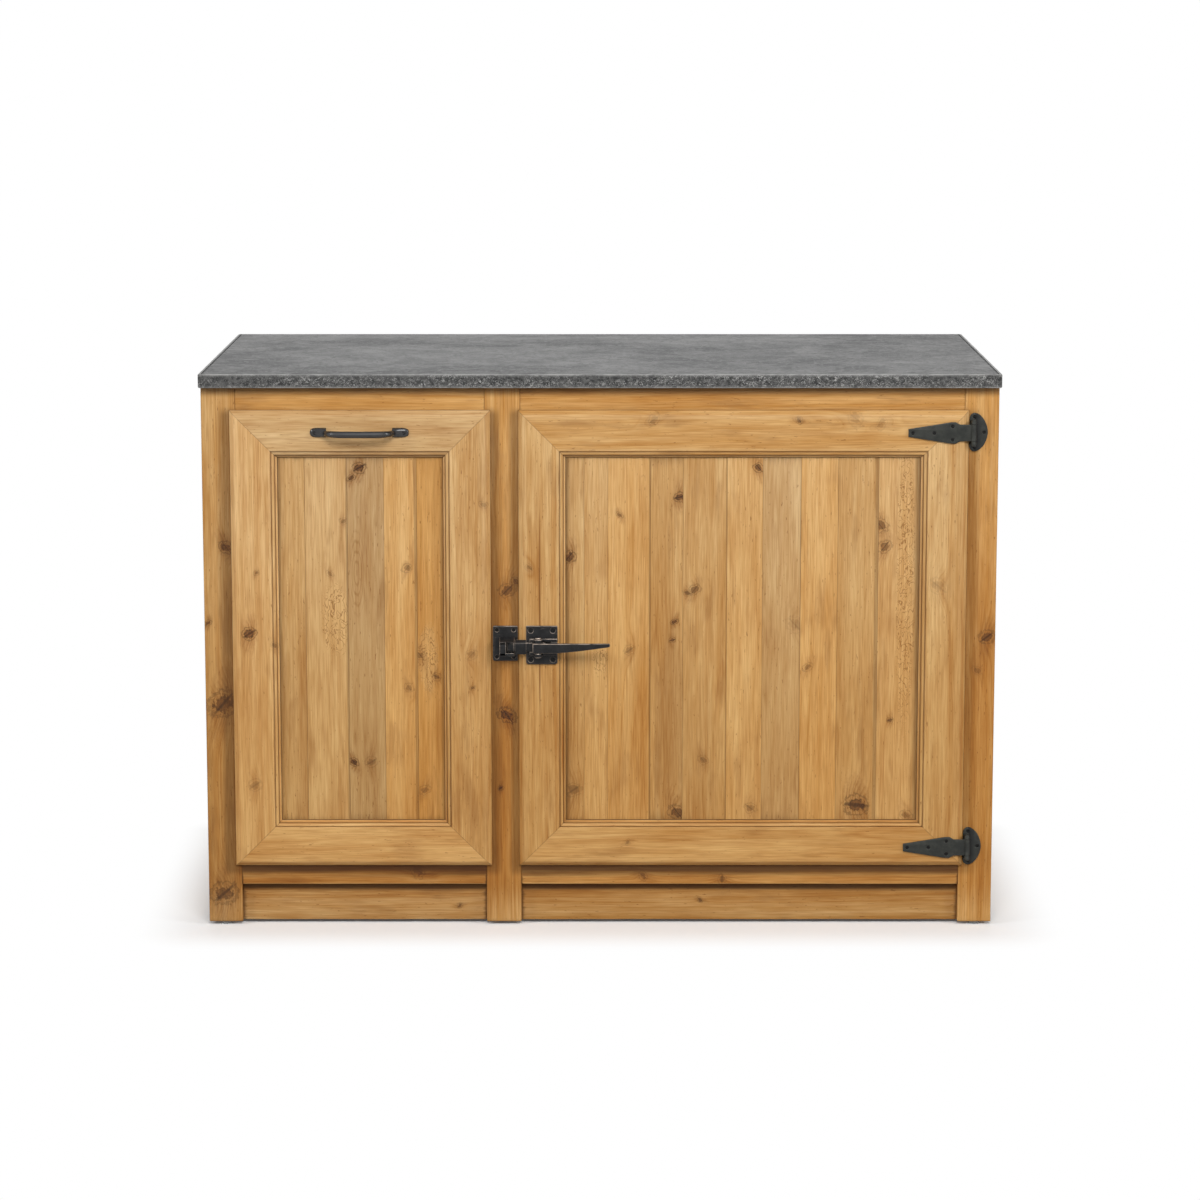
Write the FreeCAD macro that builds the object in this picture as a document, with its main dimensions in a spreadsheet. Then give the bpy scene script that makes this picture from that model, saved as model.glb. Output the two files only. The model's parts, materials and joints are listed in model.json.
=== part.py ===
import FreeCAD
import Part
import Sketcher
import os
from types import SimpleNamespace

# Kitchen base cabinet with a stone worktop, a tall drawer on the left and a latched door on the right.
# Millimetres. +X is right, +Z is up and the front faces -Y.
# The origin is on the floor under the middle of the outer box.

SIZES = {
    # worktop and outer size
    "worktop_width": 1275,
    "worktop_depth": 650,
    "worktop_thickness": 22,
    "worktop_arris": 2,
    "total_height": 900,
    "side_overhang": 3,
    "front_overhang": 14,
    "back_overhang": 4,
    "glide_height": 5,
    "glide_radius": 10,
    "glide_round": 3.5,
    # face frame
    "outer_stile_width": 54,
    "centre_stile_width": 56,
    "left_opening_width": 397,
    "frame_thickness": 22,
    "top_rail_height": 44,
    "bottom_rail_height": 40,
    "bottom_rail_lift": 67.5,
    "toe_setback": 12,
    "toe_thickness": 16,
    "board_arris": 1.2,
    # carcass behind the face frame
    "side_thickness": 18,
    "side_lift": 25,
    "post_size": 45,
    "back_thickness": 10,
    "back_inset": 4,
    "back_lift": 34,
    "rear_rail_height": 55,
    "rear_rail_thickness": 20,
    "floor_thickness": 18,
    "bearer_width": 25,
    "bearer_height": 25,
    "partition_thickness": 18,
    "shelf_thickness": 18,
    "shelf_level": 470,
    "shelf_setback": 40,
    "shelf_play": 0.5,
    "cleat_width": 20,
    "cleat_height": 25,
    # lipped fronts
    "front_thickness": 23,
    "front_proud": 11.5,
    "lip_gap": 0.5,
    "lip_width": 11,
    "rail_overlay": 8,
    "drawer_overlay": 9,
    "latch_side_overlay": 3,
    "hinge_side_overlay": 6,
    "member_width": 76,
    "bevel_width": 8,
    "bevel_depth": 8.5,
    "quirk_width": 1.8,
    "quirk_depth": 1.8,
    "ovolo_drop": 0.6,
    "ovolo_radius": 6,
    "fillet_step": 1.6,
    "fillet_width": 3.2,
    "panel_depth": 10.5,
    "panel_thickness": 12,
    "panel_rebate": 9,
    "panel_play": 0.4,
    "panel_arris": 0.9,
    # drawer box and its telescopic slides
    "box_thickness": 15,
    "box_height": 360,
    "box_depth": 520,
    "box_lift": 15,
    "box_bottom_thickness": 10,
    "box_bottom_lift": 8,
    "slide_length": 500,
    "slide_height": 45,
    "slide_thickness": 12.7,
    "slide_gauge": 1.2,
    "slide_play": 0.5,
    "slide_setback": 3,
    "slide_level": 90,
    "packer_height": 60,
    # bow pull
    "pull_length": 157,
    "pull_level": 35,
    "pull_pad_length": 26,
    "pull_pad_height": 15.4,
    "pull_pad_thickness": 5,
    "pull_bow_span": 122,
    "pull_bow_radius": 5.3,
    "pull_projection": 32,
    "pull_screw_spacing": 142,
    # half-moon hinges
    "hinge_offset": 7,
    "upper_hinge_inset": 35.5,
    "lower_hinge_inset": 32,
    "strap_length": 104,
    "strap_thickness": 3,
    "strap_tip_height": 13.4,
    "strap_wide_height": 35,
    "strap_wide_reach": 32,
    "strap_neck_height": 26.4,
    "strap_neck_reach": 20,
    "knuckle_radius": 4.5,
    "hinge_pin_radius": 2.5,
    "hinge_pin_head_radius": 3.6,
    "hinge_pin_head_height": 2,
    "hinge_ear_height": 6,
    "leaf_radius": 31,
    "leaf_back": 6,
    "leaf_thickness": 3,
    "strap_screw_tip": 97,
    "strap_screw_middle": 63,
    "strap_screw_pair": 34,
    "strap_screw_spread": 10.5,
    "leaf_screw_near": 1.5,
    "leaf_screw_spread": 24.5,
    "leaf_screw_far": 17,
    # latch on the door and its keeper on the centre stile
    "latch_level": 462,
    "latch_plate_inset": 12,
    "latch_plate_width": 50.5,
    "latch_plate_height": 62.5,
    "latch_plate_rise": 2.3,
    "latch_plate_thickness": 3,
    "latch_corner": 3,
    "latch_screw_edge": 7.5,
    "pivot_inset": 31.5,
    "pivot_out": 15,
    "pivot_pin_radius": 2.5,
    "pivot_head_radius": 5,
    "pivot_head_height": 2.5,
    "hub_radius": 5,
    "hub_height": 16,
    "lug_radius": 7,
    "lug_height": 6,
    "bolt_nose": 50,
    "bolt_tail": 12,
    "bolt_thickness": 6,
    "bolt_height": 15,
    "bolt_travel": 4.6,
    "shoulder_height": 23.2,
    "shoulder_slope": 5,
    "shoulder_play": 0.5,
    "guide_start": 5.5,
    "guide_height": 6,
    "guide_stop": 11,
    "cam_width": 4,
    "cam_reach": 9.5,
    "cam_height": 6,
    "cam_play": 1.3,
    "lever_length": 115,
    "lever_heel": 9,
    "lever_thickness": 6,
    "lever_setback": 2,
    "lever_tip_height": 5.7,
    "lever_tip_rise": 5,
    "keeper_gap": 1.5,
    "keeper_width": 40,
    "keeper_height": 57,
    "keeper_rise": 3,
    "keeper_thickness": 3,
    "keeper_screw_edge": 6.5,
    "catch_inset": 5,
    "catch_width": 24,
    "catch_out": 27,
    "catch_wall": 5,
    "catch_cheek": 11,
    # fits and screws
    "moving_play": 0.3,
    "pin_fit": 0.05,
    "bearing_fit": 0.1,
    "screw_head_radius": 3.4,
    "screw_head_height": 2,
    "screw_shank_radius": 1.8,
    "screw_length": 17,
    "screw_slot_width": 1,
    "screw_slot_depth": 0.9,
    "screw_play": 0.1,
}

# board widths of the two front panels, from left to right
DRAWER_BOARDS = (47.5, 63, 55, 49, 48)
DOOR_BOARDS = (36.5, 36.6, 66, 50.7, 68.3, 55.5, 59, 57.5, 62.5, 72.3)
BOARD_LETTERS = "abcdefghij"
SIDE_BOARD_COUNT = 8
BACK_BOARD_COUNT = 12

doc = FreeCAD.newDocument("BaseCabinet")
sheet = doc.addObject("Spreadsheet::Sheet", "Sheet")
nodes = {}


class Size:
    # a length that holds both its value and its formula over the sheet
    def __init__(self, value, text):
        self.value = value
        self.text = text

    def __add__(self, other):
        other = as_size(other)
        return Size(self.value + other.value, "(%s + %s)" % (self.text, other.text))

    def __sub__(self, other):
        other = as_size(other)
        return Size(self.value - other.value, "(%s - %s)" % (self.text, other.text))

    def __mul__(self, other):
        other = as_size(other)
        return Size(self.value * other.value, "(%s * %s)" % (self.text, other.text))

    def __truediv__(self, other):
        other = as_size(other)
        return Size(self.value / other.value, "(%s / %s)" % (self.text, other.text))

    def __rsub__(self, other):
        return as_size(other) - self

    def __neg__(self):
        return Size(-self.value, "(-%s)" % self.text)

    __radd__ = __add__
    __rmul__ = __mul__


def as_size(value):
    if isinstance(value, Size):
        return value
    return Size(float(value), "(%r)" % float(value))


def keep(row, name, value):
    sheet.set("A%d" % row, name)
    sheet.set("B%d" % row, str(value))
    sheet.setAlias("B%d" % row, name)
    return Size(float(value), "Sheet.%s" % name)


def fill_sheet():
    values = dict(SIZES)
    for prefix, widths in (("drawer_board", DRAWER_BOARDS), ("door_board", DOOR_BOARDS)):
        for index, width in enumerate(widths):
            values["%s_%s" % (prefix, BOARD_LETTERS[index])] = width
    kept = {}
    for row, (name, value) in enumerate(values.items(), start=1):
        kept[name] = keep(row, name, value)
    doc.recompute()
    return SimpleNamespace(**kept)


dim = fill_sheet()


# Helpers

def bind(item, prop, size):
    item.setExpression(prop, as_size(size).text)


def place(item, spot, axis=None, degrees=0):
    turn = FreeCAD.Rotation(FreeCAD.Vector(*(axis or (0, 0, 1))), degrees)
    start = FreeCAD.Vector(*[as_size(size).value for size in spot])
    item.Placement = FreeCAD.Placement(start, turn)
    for letter, size in zip("xyz", spot):
        bind(item, "Placement.Base." + letter, size)


def new_body(name):
    return doc.addObject("PartDesign::Body", name + "_body")


def finish(name, item):
    item.Label = name
    nodes[name] = item
    return item


def block(body, name, size, spot, kind="Additive"):
    # a box with its lowest corner at the spot
    item = body.newObject("PartDesign::%sBox" % kind, name)
    for prop, length in zip(("Length", "Width", "Height"), size):
        bind(item, prop, length)
    place(item, spot)
    return item


def rod(body, name, radius, length, spot, kind="Additive", axis=None, degrees=0):
    # a round bar that starts at the spot and stands along Z unless it is turned
    item = body.newObject("PartDesign::%sCylinder" % kind, name)
    bind(item, "Radius", radius)
    bind(item, "Height", length)
    place(item, spot, axis, degrees)
    return item


def ease(body, item, size):
    # small flat arris along every edge of a plain board
    arris = body.newObject("PartDesign::Chamfer", item.Name + "_arris")
    arris.Base = (item, [""])
    arris.UseAllEdges = True
    bind(arris, "Size", size)
    return arris


def board_body(name, size, spot, arris):
    body = new_body(name)
    ease(body, block(body, name + "_blank", size, (0, 0, 0)), arris)
    place(body, spot)
    return body


def board(name, size, spot, arris=None):
    return finish(name, board_body(name, size, spot, arris or dim.board_arris))


def plain_board(name, size, spot):
    body = new_body(name)
    block(body, name + "_blank", size, (0, 0, 0))
    place(body, spot)
    return finish(name, body)


def group(name, items):
    gathered = doc.addObject("Part::Compound", name + "_set")
    gathered.Links = items
    return finish(name, gathered)


def pin_corner(sketch, edge, end, corner):
    # hold one end of a line at its distances from the sketch's own origin
    for kind, axis, size in (("DistanceX", -2, corner[0]), ("DistanceY", -1, corner[1])):
        if not isinstance(size, Size) and size == 0:
            sketch.addConstraint(Sketcher.Constraint("PointOnObject", edge, end, axis))
        else:
            size = as_size(size)
            index = sketch.addConstraint(Sketcher.Constraint(kind, -1, 1, edge, end, size.value))
            bind(sketch, "Constraints[%d]" % index, size)


def new_sketch(body, name, plane):
    sketch = body.newObject("Sketcher::SketchObject", name)
    faces = {face.Role: face for face in body.Origin.OriginFeatures}
    sketch.AttachmentSupport = (faces[plane], [""])
    sketch.MapMode = "FlatFace"
    return sketch


def trace(sketch, corners, bend=None):
    # closed outline through the corners; bend = (edge, centre, anticlockwise) makes one edge round
    first = sketch.GeometryCount
    count = len(corners)
    spots = [FreeCAD.Vector(as_size(u).value, as_size(v).value, 0) for u, v in corners]
    starts = [1] * count
    for index in range(count):
        near, far = spots[index], spots[(index + 1) % count]
        if bend and bend[0] == index:
            middle = FreeCAD.Vector(*[as_size(size).value for size in bend[1]], 0)
            circle = Part.Circle(middle, FreeCAD.Vector(0, 0, 1), (near - middle).Length)
            tail, head = (near, far) if bend[2] else (far, near)
            starts[index] = 1 if bend[2] else 2
            sketch.addGeometry(Part.ArcOfCircle(circle, circle.parameter(tail), circle.parameter(head)))
        else:
            sketch.addGeometry(Part.LineSegment(near, far))
    for index in range(count):
        following = (index + 1) % count
        sketch.addConstraint(Sketcher.Constraint(
            "Coincident", first + index, 3 - starts[index], first + following, starts[following]))
    for index, corner in enumerate(corners):
        pin_corner(sketch, first + index, starts[index], corner)
    if bend:
        size = as_size(bend[1][0])
        kind = "PointOnObject" if size.value == 0 else "DistanceX"
        if kind == "PointOnObject":
            sketch.addConstraint(Sketcher.Constraint(kind, first + bend[0], 3, -2))
        else:
            index = sketch.addConstraint(
                Sketcher.Constraint(kind, -1, 1, first + bend[0], 3, size.value))
            bind(sketch, "Constraints[%d]" % index, size)
    return sketch


def pad(body, name, plane, corners, length, backward=False, bend=None):
    item = body.newObject("PartDesign::Pad", name)
    item.Profile = trace(new_sketch(body, name + "_outline", plane), corners, bend)
    bind(item, "Length", length)
    item.Reversed = backward
    return item


def cut_along(body, name, plane, outlines, length):
    # remove one or more closed sections along a straight run, equally to both sides
    sketch = new_sketch(body, name + "_section", plane)
    for corners, bend in outlines:
        trace(sketch, corners, bend)
    item = body.newObject("PartDesign::Pocket", name)
    item.Profile = sketch
    bind(item, "Length", length)
    item.Midplane = True
    return item


def link(source, name, spot, axis=None, degrees=0):
    copy = doc.addObject("App::Link", name)
    copy.LinkedObject = source
    copy.LinkTransform = False
    place(copy, spot, axis, degrees)
    return copy


def planks(name, count, size, spot, step):
    # equal boards side by side
    bodies = []
    for index in range(count):
        place_here = tuple(start + index * move for start, move in zip(spot, step))
        bodies.append(board_body("%s_%d" % (name, index + 1), size, place_here, dim.board_arris))
    return group(name, bodies)


# Main lines of the cabinet

body_width = dim.worktop_width - 2 * dim.side_overhang
left = -body_width / 2
right = body_width / 2
face = -(dim.worktop_depth - dim.front_overhang - dim.front_proud - dim.pull_projection) / 2
frame_back = face + dim.frame_thickness
body_back = face + dim.worktop_depth - dim.front_overhang - dim.back_overhang
post_front = body_back - dim.post_size
back_face = body_back - dim.back_inset - dim.back_thickness
under = dim.total_height - dim.worktop_thickness
foot = dim.glide_height

drawer_open_left = left + dim.outer_stile_width
drawer_open_right = drawer_open_left + dim.left_opening_width
door_open_left = drawer_open_right + dim.centre_stile_width
door_open_right = right - dim.outer_stile_width
door_open_width = door_open_right - door_open_left
open_low = dim.bottom_rail_lift + dim.bottom_rail_height
open_high = under - dim.top_rail_height
floor_under = open_low - dim.floor_thickness
side_inner_left = left + dim.side_thickness
side_inner_right = right - dim.side_thickness
partition_left = drawer_open_right + (dim.centre_stile_width - dim.partition_thickness) / 2
partition_right = partition_left + dim.partition_thickness

front_face = face - dim.front_proud
front_back = front_face + dim.front_thickness
front_low = open_low - dim.rail_overlay
front_high = open_high + dim.rail_overlay
drawer_left = drawer_open_left - dim.drawer_overlay
drawer_right = drawer_open_right + dim.drawer_overlay
door_left = door_open_left - dim.latch_side_overlay
door_right = door_open_right + dim.hinge_side_overlay


# Screws: one slotted countersunk screw and the bore that it goes into

def screw_body():
    body = new_body("screw")
    rod(body, "screw_shank", dim.screw_shank_radius, dim.screw_length, (0, 0, -dim.screw_length))
    head = body.newObject("PartDesign::AdditiveCone", "screw_head")
    bind(head, "Radius1", dim.screw_shank_radius)
    bind(head, "Radius2", dim.screw_head_radius)
    bind(head, "Height", dim.screw_head_height)
    place(head, (0, 0, -dim.screw_head_height))
    slot = (2 * dim.screw_head_radius, dim.screw_slot_width, dim.screw_slot_depth)
    corner = (-dim.screw_head_radius, -dim.screw_slot_width / 2, -dim.screw_slot_depth)
    block(body, "screw_slot", slot, corner, "Subtractive")
    return body


def bore_body():
    body = new_body("bore")
    depth = dim.screw_length + dim.screw_play
    rod(body, "bore_shank", dim.screw_shank_radius + dim.screw_play, depth, (0, 0, -depth))
    sink = body.newObject("PartDesign::AdditiveCone", "bore_sink")
    bind(sink, "Radius1", dim.screw_shank_radius + dim.screw_play)
    bind(sink, "Radius2", dim.screw_head_radius + dim.screw_play)
    bind(sink, "Height", dim.screw_head_height)
    place(sink, (0, 0, -dim.screw_head_height))
    return body


screw = screw_body()
bore = bore_body()


def screw_links(name, spots):
    # screws driven towards the back, heads flush at each spot
    screws = []
    bores = []
    for index, spot in enumerate(spots):
        screws.append(link(screw, "%s_screw_%d" % (name, index + 1), spot, (1, 0, 0), 90))
        bores.append(link(bore, "%s_bore_%d" % (name, index + 1), spot, (1, 0, 0), 90))
    return screws, bores


def bored(name, item, bores):
    # the same piece with its screw holes
    tool = doc.addObject("Part::Compound", name + "_bores")
    tool.Links = bores
    cut = doc.addObject("Part::Cut", name + "_bored")
    cut.Base = item
    cut.Tool = tool
    item.Label = name + "_blank"
    return finish(name, cut)


# Worktop, face frame and toe boards

def build_face_frame():
    board("worktop", (dim.worktop_width, dim.worktop_depth, dim.worktop_thickness),
          (-dim.worktop_width / 2, face - dim.front_overhang, under), dim.worktop_arris)
    tall = under - foot
    board("left_stile", (dim.outer_stile_width, dim.frame_thickness, tall), (left, face, foot))
    board("centre_stile", (dim.centre_stile_width, dim.frame_thickness, tall),
          (drawer_open_right, face, foot))
    board("right_stile", (dim.outer_stile_width, dim.frame_thickness, tall),
          (door_open_right, face, foot))
    for side, start, width in (("left", drawer_open_left, dim.left_opening_width),
                               ("right", door_open_left, door_open_width)):
        board("top_rail_" + side, (width, dim.frame_thickness, dim.top_rail_height),
              (start, face, open_high))
        board("bottom_rail_" + side, (width, dim.frame_thickness, dim.bottom_rail_height),
              (start, face, dim.bottom_rail_lift))
        board("toe_board_" + side, (width, dim.toe_thickness, dim.bottom_rail_lift - foot),
              (start, face + dim.toe_setback, foot))


# Planked sides and back, posts, rails, floor, partition and shelf

def build_carcass():
    tall = under - foot
    board("rear_post_left", (dim.post_size, dim.post_size, tall), (left, post_front, foot))
    board("rear_post_right", (dim.post_size, dim.post_size, tall),
          (right - dim.post_size, post_front, foot))
    plank = (post_front - frame_back) / SIDE_BOARD_COUNT
    for side, start in (("left", left), ("right", side_inner_right)):
        planks("%s_side_boards" % side, SIDE_BOARD_COUNT,
               (dim.side_thickness, plank, under - dim.side_lift),
               (start, frame_back, dim.side_lift), (0, plank, 0))
    between_posts = body_width - 2 * dim.post_size
    back_plank = between_posts / BACK_BOARD_COUNT
    planks("back_boards", BACK_BOARD_COUNT, (back_plank, dim.back_thickness, under - dim.back_lift),
           (left + dim.post_size, back_face, dim.back_lift), (back_plank, 0, 0))
    rail = (between_posts, dim.rear_rail_thickness, dim.rear_rail_height)
    rail_front = back_face - dim.rear_rail_thickness
    board("rear_top_rail", rail, (left + dim.post_size, rail_front, under - dim.rear_rail_height))
    board("rear_bottom_rail", rail,
          (left + dim.post_size, rail_front, floor_under - dim.rear_rail_height))

    floor = new_body("floor_panel")
    pad(floor, "floor_panel_sheet", "XY_Plane",
        [(side_inner_left, frame_back), (side_inner_right, frame_back),
         (side_inner_right, post_front), (right - dim.post_size, post_front),
         (right - dim.post_size, back_face), (left + dim.post_size, back_face),
         (left + dim.post_size, post_front), (side_inner_left, post_front)],
        dim.floor_thickness)
    place(floor, (0, 0, floor_under))
    finish("floor_panel", floor)

    partition = new_body("centre_partition")
    pad(partition, "centre_partition_sheet", "YZ_Plane",
        [(frame_back, open_low), (back_face, open_low),
         (back_face, under - dim.rear_rail_height), (rail_front, under - dim.rear_rail_height),
         (rail_front, under), (frame_back, under)],
        dim.partition_thickness)
    place(partition, (partition_left, 0, 0))
    finish("centre_partition", partition)

    bearers = []
    centre = (partition_left + partition_right - dim.bearer_width) / 2
    for name, start, end in (("left", side_inner_left, post_front),
                             ("centre", centre, rail_front),
                             ("right", side_inner_right - dim.bearer_width, post_front)):
        bearers.append(board_body("floor_bearer_" + name,
                                  (dim.bearer_width, end - frame_back, dim.bearer_height),
                                  (start, frame_back, floor_under - dim.bearer_height),
                                  dim.board_arris))
    group("floor_bearers", bearers)

    shelf_front = frame_back + dim.shelf_setback
    shelf_run = post_front - dim.shelf_play - shelf_front
    shelf_width = side_inner_right - partition_right - 2 * dim.shelf_play
    board("shelf", (shelf_width, shelf_run, dim.shelf_thickness),
          (partition_right + dim.shelf_play, shelf_front, dim.shelf_level))
    cleats = []
    for name, start in (("left", partition_right), ("right", side_inner_right - dim.cleat_width)):
        cleats.append(board_body("shelf_cleat_" + name, (dim.cleat_width, shelf_run, dim.cleat_height),
                                 (start, shelf_front, dim.shelf_level - dim.cleat_height),
                                 dim.board_arris))
    group("shelf_cleats", cleats)


def build_glides():
    body = new_body("glide")
    cup = rod(body, "glide_cup", dim.glide_radius, dim.glide_height, (0, 0, 0))
    doc.recompute()
    lowest = [index for index, edge in enumerate(cup.Shape.Edges, start=1)
              if edge.BoundBox.ZMax < dim.glide_height.value / 2]
    dome = body.newObject("PartDesign::Fillet", "glide_dome")
    dome.Base = (cup, ["Edge%d" % index for index in lowest])
    bind(dome, "Radius", dim.glide_round)
    near = face + dim.frame_thickness / 2
    far = post_front + dim.post_size / 2
    spots = [(left + dim.outer_stile_width / 2, near, 0), (right - dim.outer_stile_width / 2, near, 0),
             (left + dim.post_size / 2, far, 0), (right - dim.post_size / 2, far, 0)]
    group("foot_glides", [link(body, "foot_glide_%d" % (index + 1), spot)
                          for index, spot in enumerate(spots)])


# Lipped fronts: four mitred, moulded members round a panel of boards

def front_member(name, length, spot, degrees):
    # the outer edge lies on local X, the member hangs below it and its face is at local Y = 0
    body = new_body(name)
    width = dim.member_width
    pad(body, name + "_blank", "XZ_Plane",
        [(-length / 2, 0), (length / 2, 0), (length / 2 - width, -width), (-length / 2 + width, -width)],
        dim.front_thickness, backward=True)
    lip = dim.front_proud - dim.lip_gap
    bevel = [(0, 0), (dim.bevel_depth, 0), (0, -dim.bevel_width)]
    rebate = [(lip, 0), (dim.front_thickness, 0),
              (dim.front_thickness, -dim.lip_width), (lip, -dim.lip_width)]
    quirk_top = dim.quirk_width + dim.ovolo_radius + dim.fillet_width - width
    ovolo_top = quirk_top - dim.quirk_width
    ovolo_low = ovolo_top - dim.ovolo_radius
    ovolo_deep = dim.ovolo_drop + dim.ovolo_radius
    fillet_deep = ovolo_deep + dim.fillet_step
    moulding = [(0, quirk_top), (dim.quirk_depth, quirk_top), (dim.quirk_depth, ovolo_top),
                (dim.ovolo_drop, ovolo_top), (ovolo_deep, ovolo_low), (fillet_deep, ovolo_low),
                (fillet_deep, -width), (0, -width)]
    seat = dim.panel_rebate - width
    groove = [(dim.panel_depth, -width), (dim.front_thickness, -width),
              (dim.front_thickness, seat), (dim.panel_depth, seat)]
    ovolo = (3, (ovolo_deep, ovolo_top), True)
    cut_along(body, name + "_profile", "YZ_Plane",
              [(bevel, None), (rebate, None), (moulding, ovolo), (groove, None)], 2 * length)
    place(body, spot, (0, 1, 0), degrees)
    return finish(name, body)


def front_panel(name, prefix, widths, start, end):
    # boards between the rebates of the four members, shared out over the width
    reach = dim.member_width - dim.panel_rebate + dim.panel_play
    clear = end - start - 2 * reach
    total = widths[0]
    for width in widths[1:]:
        total = total + width
    bodies = []
    edge = start + reach
    low = front_low + reach
    for index, width in enumerate(widths):
        share = clear * width / total
        bodies.append(board_body("%s_%d" % (prefix, index + 1),
                                 (share, dim.panel_thickness, front_high - front_low - 2 * reach),
                                 (edge, front_face + dim.panel_depth, low), dim.panel_arris))
        edge = edge + share
    group(name, bodies)


def build_front(prefix, side_names, start, end, widths):
    middle = (start + end) / 2
    height = (front_low + front_high) / 2
    front_member(prefix + "_top_rail", end - start, (middle, front_face, front_high), 0)
    front_member(prefix + "_bottom_rail", end - start, (middle, front_face, front_low), 180)
    front_member(prefix + "_" + side_names[0], front_high - front_low, (start, front_face, height), -90)
    front_member(prefix + "_" + side_names[1], front_high - front_low, (end, front_face, height), 90)
    front_panel(prefix + "_panel", prefix + "_board", widths, start, end)


# Drawer box and telescopic slides

def build_drawer_box():
    outer_left = drawer_open_left + dim.slide_thickness
    outer_right = drawer_open_right - dim.slide_thickness
    low = open_low + dim.box_lift
    side = (dim.box_thickness, dim.box_depth, dim.box_height)
    board("drawer_box_left", side, (outer_left, front_back, low))
    board("drawer_box_right", side, (outer_right - dim.box_thickness, front_back, low))
    inside = outer_right - outer_left - 2 * dim.box_thickness
    inner_left = outer_left + dim.box_thickness
    across = (inside, dim.box_thickness, dim.box_height)
    board("drawer_box_front", across, (inner_left, front_back, low))
    board("drawer_box_back", across, (inner_left, front_back + dim.box_depth - dim.box_thickness, low))
    plain_board("drawer_box_bottom",
                (inside, dim.box_depth - 2 * dim.box_thickness, dim.box_bottom_thickness),
                (inner_left, front_back + dim.box_thickness, low + dim.box_bottom_lift))


def channel(name, web, tip, half, spot, side):
    # one slide member: an upright web with a flange at its top and foot
    body = new_body(name)
    gauge = dim.slide_gauge
    inward = gauge if tip.value > web.value else -gauge
    outline = [(web, -half), (tip, -half), (tip, gauge - half), (web + inward, gauge - half),
               (web + inward, half - gauge), (tip, half - gauge), (tip, half), (web, half)]
    pad(body, name + "_section", "XZ_Plane", [(side * u, v) for u, v in outline],
        dim.slide_length, backward=True)
    place(body, spot)
    return body


def build_slides():
    level = open_low + dim.box_lift + dim.slide_level
    start = frame_back + dim.slide_setback
    cabinet_web = as_size(0)
    tip = dim.slide_thickness - dim.slide_gauge - dim.slide_play
    half = dim.slide_height / 2
    middle_half = half - dim.slide_gauge - dim.slide_play
    drawer_half = middle_half - dim.slide_gauge - dim.slide_play
    middle_web = 2 * dim.slide_gauge + dim.slide_play
    members = {"cabinet": [], "middle": [], "drawer": []}
    for side_name, edge, side in (("left", drawer_open_left, 1), ("right", drawer_open_right, -1)):
        spot = (edge, start, level)
        name = "_slide_" + side_name
        members["cabinet"].append(channel("cabinet" + name, cabinet_web, tip, half, spot, side))
        members["middle"].append(channel("middle" + name, middle_web, tip, middle_half, spot, side))
        members["drawer"].append(channel("drawer" + name, dim.slide_thickness, dim.slide_thickness / 2,
                                         drawer_half, spot, side))
    for member, bodies in members.items():
        group("slide_%s_members" % member, bodies)
    low = level - dim.packer_height / 2
    packers = []
    for name, near, far in (("left", side_inner_left, drawer_open_left),
                            ("right", drawer_open_right, partition_left)):
        size = (far - near, dim.slide_length + dim.slide_setback, dim.packer_height)
        packers.append(board_body("slide_packer_" + name, size, (near, frame_back, low), dim.board_arris))
    group("slide_packers", packers)


# Bow pull on the drawer's top rail

def build_pull():
    body = new_body("drawer_pull")
    half = dim.pull_length / 2
    high = dim.pull_pad_height
    thick = dim.pull_pad_thickness
    round_at = half - high / 2
    for side, start in (("left", -round_at), ("right", half - dim.pull_pad_length)):
        block(body, "pull_pad_" + side, (dim.pull_pad_length - high / 2, thick, high),
              (start, -thick, -high / 2))
        rod(body, "pull_end_" + side, high / 2, thick,
            (-round_at if side == "left" else round_at, 0, 0), axis=(1, 0, 0), degrees=90)
    sag = dim.pull_projection - dim.pull_bow_radius
    chord = dim.pull_bow_span / 2
    swing = (chord * chord + sag * sag) / (2 * sag)
    spine = new_sketch(body, "pull_spine", "XY_Plane")
    middle = FreeCAD.Vector(0, swing.value - sag.value, 0)
    ring = Part.Circle(middle, FreeCAD.Vector(0, 0, 1), swing.value)
    ends = [ring.parameter(FreeCAD.Vector(side * chord.value, 0, 0)) for side in (-1, 1)]
    spine.addGeometry(Part.ArcOfCircle(ring, ends[0], ends[1]))
    pin_corner(spine, 0, 1, (-chord, 0))
    pin_corner(spine, 0, 2, (chord, 0))
    bend = spine.addConstraint(Sketcher.Constraint("Radius", 0, swing.value))
    bind(spine, "Constraints[%d]" % bend, swing)
    section = new_sketch(body, "pull_section", "YZ_Plane")
    section.addGeometry(Part.Circle(FreeCAD.Vector(-sag.value, 0, 0), FreeCAD.Vector(0, 0, 1),
                                    dim.pull_bow_radius.value))
    pin_corner(section, 0, 3, (-sag, 0))
    girth = section.addConstraint(Sketcher.Constraint("Radius", 0, dim.pull_bow_radius.value))
    bind(section, "Constraints[%d]" % girth, dim.pull_bow_radius)
    bow = body.newObject("PartDesign::AdditivePipe", "pull_bow")
    bow.Profile = section
    bow.Spine = (spine, ["Edge1"])
    block(body, "pull_back_trim", (dim.pull_length, dim.pull_projection, 2 * high),
          (-half, 0, -high), "Subtractive")
    centre = (drawer_left + drawer_right) / 2
    level = front_high - dim.pull_level
    place(body, (centre, front_face, level))
    spots = [(centre + side * dim.pull_screw_spacing / 2, front_face - thick, level) for side in (-1, 1)]
    screws, bores = screw_links("pull", spots)
    bored("drawer_pull", body, bores)
    bored("drawer_top_rail", nodes["drawer_top_rail"], bores)
    group("drawer_pull_screws", screws)


# Half-moon hinges: strap on the door, leaf with two ears on the stile, loose pin between them

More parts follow.
